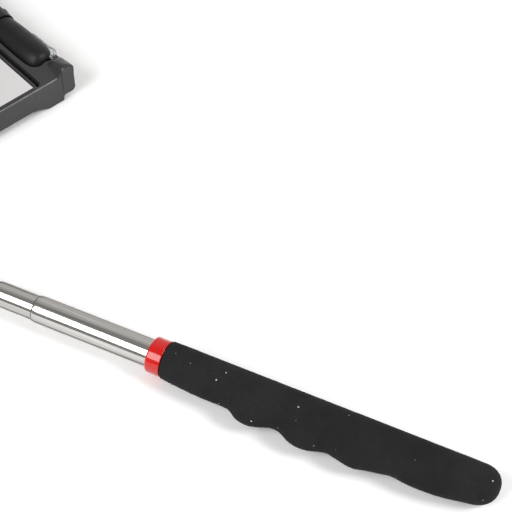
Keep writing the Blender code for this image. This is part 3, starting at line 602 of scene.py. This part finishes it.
def make_grip():
    """The foam sleeve, with finger grooves, a rounded butt and a bore for the first tube."""
    low, high = extents("foam_grip", MAST)
    radius, start, length = high.y, low.x, high.x - low.x
    straight = length - GRIP_ROUNDING
    bore = [(GRIP_BORE * math.cos(a), GRIP_BORE * math.sin(a)) for a in circle(ROUND)]
    rings = [[(GRIP_BORE_LENGTH, 0, 0)]]
    rings += [[(x, *point) for point in bore] for x in (GRIP_BORE_LENGTH, 0.0)]
    for x, r in arc(GRIP_EDGE, -GRIP_EDGE, GRIP_EDGE, 180, 90, 4):
        rings.append(grip_ring(radius, x, inset=-r))
    side = straight - GRIP_SIDE_START
    count = int(side / GRIP_STEP)
    for i in range(count + 1):
        rings.append(grip_ring(radius, GRIP_SIDE_START + side * i / count))
    for step in range(1, BUTT_STEPS):
        over = math.sin(math.radians(90 * step / BUTT_STEPS))
        shrink = (1 - over**BUTT_SHARPNESS) ** (1 / BUTT_SHARPNESS)
        rings.append(grip_ring(radius, straight + GRIP_ROUNDING * over, shrink))
    rings.append([(length, 0, 0)])
    bm = loft(rings)
    bmesh.ops.translate(bm, vec=(start, 0, 0), verts=bm.verts)
    grip = show(solid("foam_grip_fine", bm, MAST, FOAM), "foam_grip", 60)


COLLAR_WALL = 1.45


def make_collar():
    """The red ring at the grip's front."""
    high = extents("red_collar", MAST)[1]
    radius, length = high.y, high.x
    inner = radius - COLLAR_WALL
    profile = rounded([
        (0.0, inner, 0.15), (0.0, radius - 0.55, 0.45), (0.55, radius, 0.6),
        (length, radius, 0.25), (length, inner),
    ])
    show(solid("red_collar_fine", lathe(profile, closed=True), MAST, RED), "red_collar")


TUBES = 6
TUBE_WALL = 0.30
MOUTH_ROLL = 2.0  # length of the rolled-in stretch at a section's mouth
MOUTH_GAP = 0.15
CURL_STEPS = 12
OUTER_START, BORE_START, LIP_END = 0.8, 1.0, 0.6  # past the rolled-in stretch
LIP_BAND = 0.35  # how far the painted shade on the rolled-in edge reaches
NECK_LENGTH = 7.0
NECK_DEPTH = 0.25
END_BAND = 0.7  # full-width stretch behind the neck


def tube_profile(radius, lip, length, necked):
    """A section's wall: from its rolled-in mouth along the outside, and back along the bore."""
    bore = radius - TUBE_WALL
    curl = [math.radians(90 * step / CURL_STEPS) for step in range(CURL_STEPS, -1, -1)]
    profile = [
        (MOUTH_ROLL * (1 - math.sin(a)), radius - (radius - lip) * (1 - math.cos(a))) for a in curl
    ]
    profile.append((MOUTH_ROLL + OUTER_START, radius))
    if necked:
        neck, band = length - NECK_LENGTH, length - END_BAND
        profile += [
            (neck, radius), (neck + 0.5, radius - NECK_DEPTH), (band - 0.1, radius - NECK_DEPTH),
            (band, radius), (length, radius), (length, bore - NECK_DEPTH),
            (neck + 0.4, bore - NECK_DEPTH), (neck, bore),
        ]
    else:
        profile += [(length, radius), (length, bore)]
    return profile + [(MOUTH_ROLL + BORE_START, bore), (MOUTH_ROLL + LIP_END, lip)]


def make_tubes():
    """Each section's mouth is rolled in on the next one, and its inner end is necked for a bush."""
    boxes = [extents(f"tube_{i + 1}", MAST) for i in range(TUBES)]
    for i, (low, high) in enumerate(boxes):
        lip = boxes[i + 1][1].y + MOUTH_GAP if i + 1 < TUBES else high.y - TUBE_WALL - 0.1
        profile = tube_profile(high.y, lip, high.x - low.x, i > 0)
        bm = lathe(profile, at=(low.x, 0, 0), closed=True)
        tube = solid(f"tube_{i + 1}_fine", bm, MAST, STAINLESS)
        # the second material paints shade on the last stretch of each rolled-in mouth
        tube.data.materials.append(PAINTED_MOUTH_SHADE)
        for face in tube.data.polygons:
            face.material_index = int(face.center.x / MM < low.x + LIP_BAND)
        show(tube, f"tube_{i + 1}", 30)


PLUG_BORE = 1.35
PLUG_FLANGE = 1.35
PLUG_FIT = 0.42  # how much slimmer the plug is than the section it goes into
TIP_SHOULDER = 1.6  # length of the stud's shoulder in front of the plug
TIP_SHOULDER_RADIUS = 2.8
TIP_STEM = 1.23
RIVET_LENGTH = 0.9
RIVET_RADIUS = 1.9


def make_tip():
    """The plug in the last section, and the ball stud that turns in it."""
    low, high = extents("tip_plug", MAST)
    shoulder = low.x + PLUG_FLANGE
    spigot = extents("tube_6", MAST)[1].y - PLUG_FIT
    plug = rounded([
        (low.x, PLUG_BORE), (low.x, high.y, 0.3), (shoulder, high.y, 0.12), (shoulder, spigot),
        (high.x, spigot), (high.x, PLUG_BORE),
    ])
    show(solid("tip_plug_fine", lathe(plug, closed=True), MAST, BRASS), "tip_plug")
    stud_low, stud_high = extents("tip_ball_stud", MAST)
    start, end, rivet = low.x - TIP_SHOULDER, low.x - 0.2, stud_high.x - RIVET_LENGTH
    ball = ball_profile(stud_low.x + BALL_RADIUS)
    stem = rounded([
        ball[-1], (start, BALL_NECK, 0.3), (start, TIP_SHOULDER_RADIUS, 0.2),
        (end, TIP_SHOULDER_RADIUS, 0.2), (end, TIP_STEM), (rivet, TIP_STEM),
        (rivet, RIVET_RADIUS, 0.2), (stud_high.x, RIVET_RADIUS - 0.3, 0.3), (stud_high.x, 0),
    ])
    bm = lathe(ball + stem[1:])
    show(solid("tip_ball_stud_fine", bm, MAST, PLATED), "tip_ball_stud")


# ---------------------------------------------------------------- double ball joint

SEAT_RADIUS = 4.75
PLATE_END_RADIUS = 5.6
PLATE_WAIST = 4.6
PLATE_RUN = 7.0  # from a ball's centre to where the waist starts
CLAMP_HOLE = 1.75
CLAMP_SCREW_RADIUS = 1.5
CLAMP_HEAD_RADIUS = 2.8
SLOT = 0.35  # half its width
WASHER_THICKNESS = 0.7
WASHER_RADII = (1.7, 2.9)
NUT_BORE = 1.6
STUD_FLANGE = 3.4
STUD_RADIUS = 1.5
STUD_GROOVE = (6.9, 0.8, 0.4)  # distance past the flange's face, width and depth


def plate_outline(length):
    """A dog bone round the two balls, from the first ball's centre along +X."""
    lean = math.degrees(math.atan2(PLATE_END_RADIUS - PLATE_WAIST, PLATE_RUN))
    points = arc(0, 0, PLATE_END_RADIUS, 90 - lean, 270 + lean, 48)
    points += rounded([(PLATE_RUN, -PLATE_WAIST), (length - PLATE_RUN, -PLATE_WAIST)])
    points += arc(length, 0, PLATE_END_RADIUS, -90 - lean, 90 + lean, 48)
    return points + [(length - PLATE_RUN, PLATE_WAIST), (PLATE_RUN, PLATE_WAIST)]


def through_hole(radius, top, middle):
    """A cutter that runs from below the plates up to top, at the middle of the link."""
    profile = [(-9, 0), (-9, radius), (top, radius), (top, 0)]
    return lathe(profile, (middle, 0, 0), TURN_TO_Z, SMALL_ROUND)


def make_plates(length):
    """The two clamp plates, with a seat for each ball."""
    for name in ("clamp_plate_upper", "clamp_plate_lower"):
        low, high = extents(name, LINK)
        plate = solid(f"{name}_fine", prism(plate_outline(length), low.z, high.z), LINK, PLATED)
        bevel(plate, 0.4)
        for x in (0, length):
            carve(plate, lathe(sphere_profile(SEAT_RADIUS), at=(x, 0, 0), turn=TURN_TO_Z))
        carve(plate, through_hole(CLAMP_HOLE, 9, length / 2))
        show(plate, name)


def make_clamp_screw(middle):
    """The slotted screw that draws the plates together."""
    low, high = extents("clamp_screw", LINK)
    under = extents("clamp_plate_upper", LINK)[1].z + WASHER_THICKNESS
    screw = rounded([
        (low.z, 0), (low.z, CLAMP_SCREW_RADIUS, 0.25), (under, CLAMP_SCREW_RADIUS),
        (under, CLAMP_HEAD_RADIUS, 0.1), (high.z - 0.5, CLAMP_HEAD_RADIUS, 0.25),
        (high.z, CLAMP_HEAD_RADIUS - 0.6, 0.3), (high.z, 0),
    ])
    bolt = solid("clamp_screw_fine", lathe(screw, (middle, 0, 0), TURN_TO_Z), LINK, PLATED)
    slot = rectangle(middle - SLOT, -4, middle + SLOT, 4)
    carve(bolt, prism(slot, high.z - 0.75, high.z + 1))
    show(bolt, "clamp_screw", 35)


def make_spring_washer(middle):
    """A ring with a slanted cut through it."""
    low, high = extents("spring_washer", LINK)
    inner, outer = WASHER_RADII
    profile = rounded([(low.z, inner), (low.z, outer, 0.12), (high.z, outer, 0.12), (high.z, inner)])
    bm = lathe(profile, (middle, 0, 0), TURN_TO_Z, closed=True)
    washer = solid("spring_washer_fine", bm, LINK, PLATED)
    cut = [(middle - 0.35, 1), (middle + 0.1, 1), (middle + 0.45, 4), (middle, 4)]
    carve(washer, prism(cut, low.z - 1, high.z + 1))
    show(washer, "spring_washer", 35)


def make_clamp_nut(middle):
    """The hexagon nut under the lower plate."""
    low, high = extents("clamp_nut", LINK)
    hexagon = [(middle + x, y) for x, y in arc(0, 0, (high.x - low.x) / 2, 0, 300, 5)]
    nut = solid("clamp_nut_fine", prism(hexagon, low.z, high.z), LINK, PLATED)
    carve(nut, through_hole(NUT_BORE, 0, middle))
    bevel(nut, 0.22, 3)
    show(nut, "clamp_nut")


def make_link():
    """Two plates on the balls, drawn together by a screw with a spring washer and a nut."""
    length = (HEAD_BALL - TIP_BALL).length / MM
    make_plates(length)
    make_clamp_screw(length / 2)
    make_spring_washer(length / 2)
    make_clamp_nut(length / 2)


def make_head_stud():
    """The second ball, on the stud that the head turns on."""
    end = extents("head_ball_stud", STUD)[1].y
    reach = (HEAD.translation - STUD.translation).length / MM
    distance, width, depth = STUD_GROOVE
    groove = reach + distance
    start, face = reach - 1.9, reach - 0.25
    ball = ball_profile(0)
    stud = rounded([
        ball[-1], (start, BALL_NECK, 0.4), (start, STUD_FLANGE, 0.25), (face, STUD_FLANGE, 0.2),
        (face, STUD_RADIUS), (groove, STUD_RADIUS), (groove, STUD_RADIUS - depth),
        (groove + width, STUD_RADIUS - depth), (groove + width, STUD_RADIUS),
        (end, STUD_RADIUS, 0.3), (end, 0),
    ])
    bm = lathe(ball + stud[1:], turn=TURN_TO_Y)
    show(solid("head_ball_stud_fine", bm, STUD, PLATED), "head_ball_stud")


# ---------------------------------------------------------------- head

TRAY_BOTTOM = -4.0
CORNER_RADIUS = 4.0
TROUGH_RADIUS = 7.5
TROUGH_HALF = 35.6
TROUGH_STEPS = 20
FIT = 0.3  # clearance round the glass and the back cover
FRAME_FIT = 0.7  # from the glass to the rebate round its frame
FRAME_BACK = 1.6  # the same towards the lamp
STUD_HOLE = 1.7
RIM = 6.4
SHELF = 2.0
REBATE = 3.2  # depth of the groove between the glass's frame and the rim
POD = (
    (54.0, 0.0), (56.5, -0.4), (59.0, -1.4), (61.0, -2.5), (62.2, -3.0), (69.7, -3.0),
    (70.0, -0.5), (74.4, -0.5),
)  # (Y, height from the tray's bottom) along the underside
CHEEK_RISE = (
    (36.05, 0.0), (37.2, 0.26), (38.8, 0.54), (40.6, 0.68), (42.4, 0.83), (44.2, 0.97), (45.3, 1.0),
    (46.0, 0.92),
)  # (X, share of its height) of the swelling at each end of the lamp
CHEEK_SECTION = (
    (67.1, -0.12), (67.7, -0.05), (68.3, 0.12), (68.75, 0.5), (69.15, 1.15), (69.5, 1.85),
    (69.85, 2.6), (70.4, 3.35), (71.2, 3.82), (72.2, 3.85), (73.4, 3.4), (74.4, 2.85), (75.15, 2.3),
    (75.58, 1.7),
)  # (Y, height above the rim) at full height
CHEEK_CREST = 71.2
CHEEK_LAG = 0.7  # how much later the inner side rises than the crest
END_PANEL = (
    (69.6, -3.3, 0.5), (75.1, -3.3, 0.8), (75.1, 8.2, 0.8), (72.6, 9.7, 1.2), (70.9, 9.8, 0.7),
    (69.6, 8.3, 1.4),
)  # (Y, Z, rounding) of the raised panel on each end of the lamp side
END_PANEL_HEIGHT = 0.28
CHEEK_STEPS = 16
FRAME_WIDTH = 1.0
SINK_RADIUS = 2.3
SINK_DEPTH = 0.8
SCREW_HOLE = 1.1
SCREW_RADIUS = 0.9
SCREW_HEAD_RADIUS = 2.1
SCREW_HEAD_HEIGHT = 0.65
CROSS = (0.25, 1.3)  # half width and half length of the slots in a cover screw
CROSS_DEPTH = 0.4
SCREW_X = 37.0
SCREW_Y = (13.0, 47.0)


def rounded_end(radius, half):
    """Points of the barrel's outer side over its last stretch, up to its rounded end."""
    return [
        (half - 10.4, radius), (half - 5.4, radius - 0.2), (half - 2.4, radius - 0.8),
        (half - 0.9, radius - 1.7), (half, radius - 3.0),
    ]


def smooth_side(keys, steps=40):
    """A curve through the points, with its steps getting shorter towards the last one."""
    start, end = keys[0][0], keys[-1][0]
    shares = [math.sin(math.radians(90 * i / steps)) for i in range(steps + 1)]
    stations = [start + (end - start) * share for share in shares]
    return [(x, smooth_value(keys, x)) for x in stations]


def make_cheek(side):
    """The swelling that the barrel's pin turns in."""
    foot = CHEEK_SECTION[0][1]
    rings = []
    start, end = CHEEK_RISE[0][0], CHEEK_RISE[-1][0]
    for i in range(CHEEK_STEPS + 1):
        x = start + (end - start) * i / CHEEK_STEPS
        share = smooth_value(CHEEK_RISE, x)
        ring = []
        for y, height in CHEEK_SECTION:
            lag = max(0.0, (CHEEK_CREST - y) / (CHEEK_CREST - CHEEK_SECTION[0][0]))
            ring.append((y, RIM + foot + share ** (1 + CHEEK_LAG * lag) * (height - foot)))
        ring += [(CHEEK_SECTION[-1][0], RIM - 1), (CHEEK_SECTION[0][0], RIM - 1)]
        rings.append([(side * x, y, z) for y, z in ring])
    return loft(rings, capped=True)


def make_tray(half, depth):
    """The housing's block: its side outline across its width, with two corners rounded upright."""
    outline = [(0, TRAY_BOTTOM)] + [(y, TRAY_BOTTOM + z) for y, z in POD]
    outline += [(depth, TRAY_BOTTOM + 0.8), (depth, RIM), (0, RIM)]
    bm = prism(outline, -half, half, "x")
    upright = [
        edge for edge in bm.edges
        if all(abs(v.co.y) < 1e-6 and abs(abs(v.co.x) - half) < 1e-6 for v in edge.verts)
    ]
    bmesh.ops.bevel(bm, geom=upright, offset=CORNER_RADIUS, segments=12, profile=0.5, affect="EDGES")
    housing = solid("head_housing_fine", bm, HEAD, BLACK)
    bevel(housing, 0.32, 1, 40)
    return housing


def carve_glass_seat(housing):
    """The recess for the glass, and the shallower one round its frame."""
    low, high = extents("mirror_glass", HEAD)
    recess = rectangle(low.x - FIT, low.y - FIT, high.x + FIT, high.y + FIT, 2.0)
    carve(housing, prism(recess, SHELF, RIM + 5))
    start, end = low.x - FRAME_FIT, high.x + FRAME_FIT
    rebate = rectangle(start, low.y - FRAME_FIT, end, high.y + FRAME_BACK, 2.2)
    carve(housing, prism(rebate, RIM - REBATE, RIM + 1))


def carve_trough(housing):
    """The hollow that the barrel turns in, deeper round the middle ring."""
    high = extents("centre_ring", LAMP)[1]
    groove = high.x + 0.5
    trough = [(groove, high.y + 0.5), (groove, TROUGH_RADIUS)]
    trough += smooth_side(rounded_end(TROUGH_RADIUS, TROUGH_HALF), TROUGH_STEPS) + [(TROUGH_HALF, 0)]
    mirrored = [(-x, r) for x, r in reversed(trough)]
    carve(housing, lathe(mirrored + trough, at=HEAD.inverted() @ LAMP.translation / MM))


def make_housing():
    """The tray with its cheeks and end panels, and the hollows that show: the glass's seat, the trough, the
    cover's pocket and the stud's hole.
    """
    high = extents("head_housing", HEAD)[1]
    half = high.x
    housing = make_tray(half, high.y)
    for side in (-1, 1):
        carve(housing, make_cheek(side), "UNION")
        panel = sorted((side * (half - 1), side * (half + END_PANEL_HEIGHT)))
        carve(housing, prism(rounded(END_PANEL), *panel, "x"), "UNION")

    carve_glass_seat(housing)
    carve_trough(housing)
    low, high = extents("back_cover", HEAD)
    pocket = rectangle(low.x - FIT, low.y - FIT, high.x + FIT, high.y + FIT)
    carve(housing, prism(pocket, TRAY_BOTTOM - 1, high.z + FIT))
    stud_hole = [(-2, 0), (-2, STUD_HOLE), (6.3, STUD_HOLE), (6.3, 0)]
    carve(housing, lathe(stud_hole, turn=TURN_TO_Y, sides=SMALL_ROUND))
    clean_up(housing)
    bevel(housing, 0.12, 2, 50)
    show(housing, "head_housing", 40)


def make_glass():
    """The silvered glass, with a ground edge."""
    low, high = extents("mirror_glass", HEAD)
    outline = rectangle(low.x, low.y, high.x, high.y, 1.5, 8)
    glass = solid("mirror_glass_fine", prism(outline, low.z, high.z), HEAD, MIRROR)
    glass.data.materials.append(GLASS_EDGE)
    bevel(glass, 0.15, 2)
    for face in glass.data.polygons:
        face.material_index = 0 if face.normal.z > 0.9 else 1
    show(glass, "mirror_glass")


def make_bezel():
    """The frame round the glass."""
    low, high = extents("front_bezel", HEAD)
    outline = rectangle(low.x, low.y, high.x, high.y, 1.7, 8)
    bezel = solid("front_bezel_fine", prism(outline, low.z, high.z), HEAD, BLACK)
    start, end = low.x + FRAME_WIDTH, high.x - FRAME_WIDTH
    opening = rectangle(start, low.y + FRAME_WIDTH, end, high.y - FRAME_WIDTH, 0.8, 8)
    carve(bezel, prism(opening, low.z - 1, high.z + 1))
    bevel(bezel, 0.25)
    show(bezel, "front_bezel")


def make_cover():
    """The plate under the head, with a countersunk screw near each corner."""
    low, high = extents("back_cover", HEAD)
    outline = rectangle(low.x, low.y, high.x, high.y, 0.8)
    cover = solid("back_cover_fine", prism(outline, low.z, high.z), HEAD, BLACK)
    bevel(cover, 0.3)
    number = 0
    for side in (-1, 1):
        for y in SCREW_Y:
            number += 1
            at = (side * SCREW_X, y, 0)
            start, seat, end = low.z - 1, low.z + SINK_DEPTH, high.z + 1
            sink = [(start, 0), (start, SINK_RADIUS), (seat, SINK_RADIUS), (seat, SCREW_HOLE)]
            sink += [(end, SCREW_HOLE), (end, 0)]
            carve(cover, lathe(sink, at, TURN_TO_Z, SMALL_ROUND))
            make_cover_screw(number, at)
    show(cover, "back_cover")


def make_cover_screw(number, at):
    """A pointed screw with a cross cut into its head."""
    node = f"cover_screw_{number}"
    low, high = extents(node, HEAD)
    under = low.z + SCREW_HEAD_HEIGHT
    profile = [(low.z, 0)] + rounded([
        (low.z, SCREW_HEAD_RADIUS - 0.3), (low.z + 0.25, SCREW_HEAD_RADIUS, 0.15),
        (under, SCREW_HEAD_RADIUS, 0.1), (under, SCREW_RADIUS), (high.z - 0.4, SCREW_RADIUS),
    ]) + [(high.z, 0)]
    screw = solid(f"{node}_fine", lathe(profile, at, TURN_TO_Z, SMALL_ROUND), HEAD, PLATED)
    x, y = at[:2]
    for wide, tall in (CROSS, CROSS[::-1]):
        slot = rectangle(x - wide, y - tall, x + wide, y + tall)
        carve(screw, prism(slot, low.z - 1, low.z + CROSS_DEPTH))
    show(screw, node, 35)


# ---------------------------------------------------------------- lamp

LAMP_RADIUS = 6.5
BARREL_CROWN = [(10.9, 6.2), (16.0, 6.4)]  # (X, radius) out from the middle ring
RING_GAP = 1.25
SPIGOT = 5.5  # its radius where it goes into the middle ring
SPIGOT_END = 2.5
BARREL_START = 5.9  # its outer radius beside the ring
BARREL_BORE = 5.2
PIN_HOLE = 1.3
BORE_INSET = (
    (1.4, PIN_HOLE), (1.4, 3.2), (3.4, 4.7), (6.4, BARREL_BORE),
)  # (distance from the barrel's end, radius) behind the pin's hole
RING_BORE = 5.95
RING_CHAMFER = 0.35
LENS_FIT = 0.2
BUTTON_FIT = 0.2
LENS_STEPS = 32
LENS_SHOULDER = 0.35  # height of the strip's crown, at least
LENS_SIDE = 0.7  # from the CAD strip's top down to where the sides start, at least
LED_RADIUS = 1.5
LED_DOME = 1.2
LENS_TAIL = 1.4  # how far the clear strip runs on over the barrel's rounded end
LENS_SWELL = (
    (19.0, -0.35), (19.6, 0.1), (24.0, 0.25), (28.6, 0.3), (30.2, 0.7), (31.4, 0.9), (32.2, 0.6),
    (32.9, -0.4), (33.6, -0.95), (34.3, -1.5),
)  # (X, height added to the clear strip's top)


def make_shell(name, side):
    """One half of the barrel along its own X, with a window for its clear strip towards Y."""
    low, high = extents(f"lamp_shell_{name}", LAMP)
    half = max(abs(low.x), abs(high.x))
    start = extents("centre_ring", LAMP)[1].x + RING_GAP
    outer = [(SPIGOT_END, SPIGOT), (start, SPIGOT), (start, BARREL_START - 0.05)]
    outer += smooth_side([(start, BARREL_START)] + BARREL_CROWN + rounded_end(LAMP_RADIUS, half))
    inner = [(half, PIN_HOLE)] + [(half - inset, r) for inset, r in BORE_INSET]
    inner += [(SPIGOT_END, BARREL_BORE)]
    profile = [(side * x, r) for x, r in outer + inner]
    shell = solid(f"lamp_shell_{name}_fine", lathe(profile, closed=True), LAMP, GLOSSY_BLACK)
    low, high = extents(f"lamp_lens_{name}", LAMP)
    inner_end, outer_end = sorted((low.x, high.x), key=abs)
    ends = sorted((inner_end - side * LENS_FIT, outer_end + side * (LENS_TAIL + LENS_FIT)))
    window = rectangle(ends[0], low.z - LENS_FIT, ends[1], high.z + LENS_FIT, 0.7)
    carve(shell, prism(window, 3.0, 9.0, "y"))
    show(shell, f"lamp_shell_{name}", 35)


def make_ring():
    """The ring in the middle of the barrel, with a hole for the button."""
    high = extents("centre_ring", LAMP)[1]
    profile = rounded([
        (-high.x, RING_BORE), (-high.x, high.z, RING_CHAMFER), (high.x, high.z, RING_CHAMFER),
        (high.x, RING_BORE),
    ])
    ring = solid("centre_ring_fine", lathe(profile, closed=True), LAMP, GLOSSY_BLACK)
    radius = extents("switch_button", LAMP)[1].x + BUTTON_FIT
    hole = [(3, 0), (3, radius), (9, radius), (9, 0)]
    carve(ring, lathe(hole, turn=TURN_TO_Y, sides=SMALL_ROUND))
    show(ring, "centre_ring", 35)


def make_button():
    """The switch's button, with a dished top."""
    low, high = extents("switch_button", LAMP)
    dish = high.y - 0.25
    button = rounded([
        (low.y, 0), (low.y, high.x), (high.y, high.x, 0.35), (high.y, 1.5, 0.3), (dish, 1.0, 0.3),
        (dish, 0),
    ])
    bm = lathe(button, turn=TURN_TO_Y)
    show(solid("switch_button_fine", bm, LAMP, RUBBER), "switch_button")


def make_lens(name, side):
    """The clear strip, crowned across, which swells towards its outer end."""
    low, high = extents(f"lamp_lens_{name}", LAMP)
    half, sill = high.z, low.y
    inner, outer = sorted((low.x, high.x), key=abs)
    outer += side * LENS_TAIL
    rings = []
    crown = [math.radians(10 * i) for i in range(1, 18)]
    for step in range(LENS_STEPS + 1):
        x = inner + (outer - inner) * step / LENS_STEPS
        top = high.y + smooth_value(LENS_SWELL, abs(x))
        shoulder = min(top - LENS_SHOULDER, high.y - LENS_SIDE)
        ring = [(sill, -half), (shoulder, -half)]
        ring += [(shoulder + (top - shoulder) * math.sin(a), -half * math.cos(a)) for a in crown]
        ring += [(shoulder, half), (sill, half)]
        rings.append([(x, y, z) for y, z in ring])
    lens = solid(f"lamp_lens_{name}_fine", loft(rings, capped=True), LAMP, CLEAR)
    show(lens, f"lamp_lens_{name}", 50)


def make_led_dome(name):
    """A light-emitting diode: a flange with a dome on it."""
    node = f"led_{name}"
    low, high = extents(node, LAMP)
    middle = (low.x + high.x) / 2
    top = low.y + 1.0
    flange = rounded([(low.y, LED_RADIUS), (top, LED_RADIUS, 0.1), (top, LED_DOME)])
    dome = arc(high.y - LED_DOME, 0, LED_DOME, 90, 0, 10)[:-1]
    profile = [(low.y, 0)] + flange + dome + [(high.y, 0)]
    bm = lathe(profile, (middle, 0, 0), TURN_TO_Y, SMALL_ROUND)
    show(solid(f"{node}_fine", bm, LAMP, LED), node)


# ---------------------------------------------------------------- CAD nodes that stay

CARRIED = {
    "tube_end_plug": BRASS, "stud_clip": PLATED, "stud_washer": PLATED, "mirror_pad": PAD,
    "circuit_board_left": CIRCUIT, "circuit_board_right": CIRCUIT, "button_cell_1": PLATED,
    "button_cell_2": PLATED, "button_cell_3": PLATED, "contact_plate": BRASS,
    "contact_spring": PLATED, "switch_body": RUBBER, "pivot_pin_left": PLATED,
    "pivot_pin_right": PLATED, "friction_ring_left": RUBBER, "friction_ring_right": RUBBER,
    **{f"slide_bush_{i}": BRASS for i in range(2, TUBES + 1)},
}


def finish_carried_nodes():
    """Gives the CAD nodes that stay as they are their materials."""
    for node, finish in CARRIED.items():
        obj = frame["nodes"][node]
        obj.data.materials.clear()
        obj.data.materials.append(finish)


# ---------------------------------------------------------------- studio

FLOOR_HALF = 3.0  # metres, as the other sizes of the studio are
FLOOR_STEPS = 12
FLOOR_DROP = 0.0002
SKY_TOWARDS = (0, 0.9, 0.42)  # where the surround is brightest
SKY_STOPS = ((0.45, 0.33), (0.88, 0.83))  # (place in the ramp, brightness)
SKY_WARMTH = (1, 0.985, 0.97)
SOFTBOXES = (
    ("front_softbox", (-0.42, -0.78, 0.79), 0.95, 0.60, 8),
    ("right_softbox", (0.76, 0.15, 0.69), 1.04, 0.42, 7),
)  # (name, direction from the mast's origin, distance, side, watts)
CAMERA_AIM = (13.4, 55.45, 0.0)  # in the mast's axes, in millimetres
CAMERA_AZIMUTH = 25.65
CAMERA_ELEVATION = 50.17
CAMERA_DISTANCE = 0.6
CAMERA_LENS = 115.7
CAMERA_SENSOR = 36.0


def make_floor():
    """A plain board just under the tool."""
    bm = bmesh.new()
    bmesh.ops.create_grid(
        bm, x_segments=FLOOR_STEPS, y_segments=FLOOR_STEPS, size=FLOOR_HALF)
    mesh = bpy.data.meshes.new("floor")
    bm.to_mesh(mesh)
    bm.free()
    mesh.materials.append(make_floor_finish())
    floor = placed("floor", mesh)
    floor.location.z = -FLOOR_DROP


def make_softbox(name, direction, distance, side, power):
    """A square area light that looks at the tool from a direction."""
    data = bpy.data.lights.new(name, "AREA")
    data.shape = "RECTANGLE"
    data.size, data.size_y = side, side
    data.energy = power
    light = placed(name, data)
    towards = Vector(direction).normalized()
    light.location = MAST.translation + towards * distance
    light.rotation_euler = towards.to_track_quat("Z", "Y").to_euler()


def make_world():
    """A soft surround that is brighter behind the tool than over it."""
    world = bpy.data.worlds.new("surround")
    world.use_nodes = True
    bpy.context.scene.world = world
    tree = world.node_tree
    background = tree.nodes["Background"]
    space = tree.nodes.new("ShaderNodeTexCoord")
    towards = tree.nodes.new("ShaderNodeVectorMath")
    towards.operation = "DOT_PRODUCT"
    towards.inputs[1].default_value = Vector(SKY_TOWARDS).normalized()
    ramp = tree.nodes.new("ShaderNodeValToRGB")
    for stop, (position, value) in zip(ramp.color_ramp.elements, SKY_STOPS):
        stop.position = position
        stop.color = (*(value * share for share in SKY_WARMTH), 1)
    tree.links.new(space.outputs["Generated"], towards.inputs[0])
    tree.links.new(towards.outputs["Value"], ramp.inputs["Fac"])
    tree.links.new(ramp.outputs["Color"], background.inputs["Color"])


def make_camera():
    """At the photograph's angle."""
    aim = MAST @ (Vector(CAMERA_AIM) * MM)
    azimuth, elevation = math.radians(CAMERA_AZIMUTH), math.radians(CAMERA_ELEVATION)
    back = Vector((
        math.sin(azimuth) * math.cos(elevation),
        -math.cos(azimuth) * math.cos(elevation),
        math.sin(elevation),
    ))
    data = bpy.data.cameras.new("camera")
    data.sensor_width = CAMERA_SENSOR
    data.lens = CAMERA_LENS
    data.clip_start, data.clip_end = 0.02, 20.0
    camera = placed("camera", data)
    camera.location = aim + back * CAMERA_DISTANCE
    camera.rotation_euler = back.to_track_quat("Z", "Y").to_euler()
    bpy.context.scene.camera = camera


make_grip()
make_collar()
make_tubes()
make_tip()
make_link()
make_head_stud()
make_housing()
make_glass()
make_bezel()
make_cover()
for name, side in (("left", -1), ("right", 1)):
    make_shell(name, side)
    make_lens(name, side)
    make_led_dome(name)
make_ring()
make_button()
finish_carried_nodes()
make_floor()
for softbox in SOFTBOXES:
    make_softbox(*softbox)
make_world()
make_camera()
bpy.context.scene.view_settings.view_transform = "Standard"
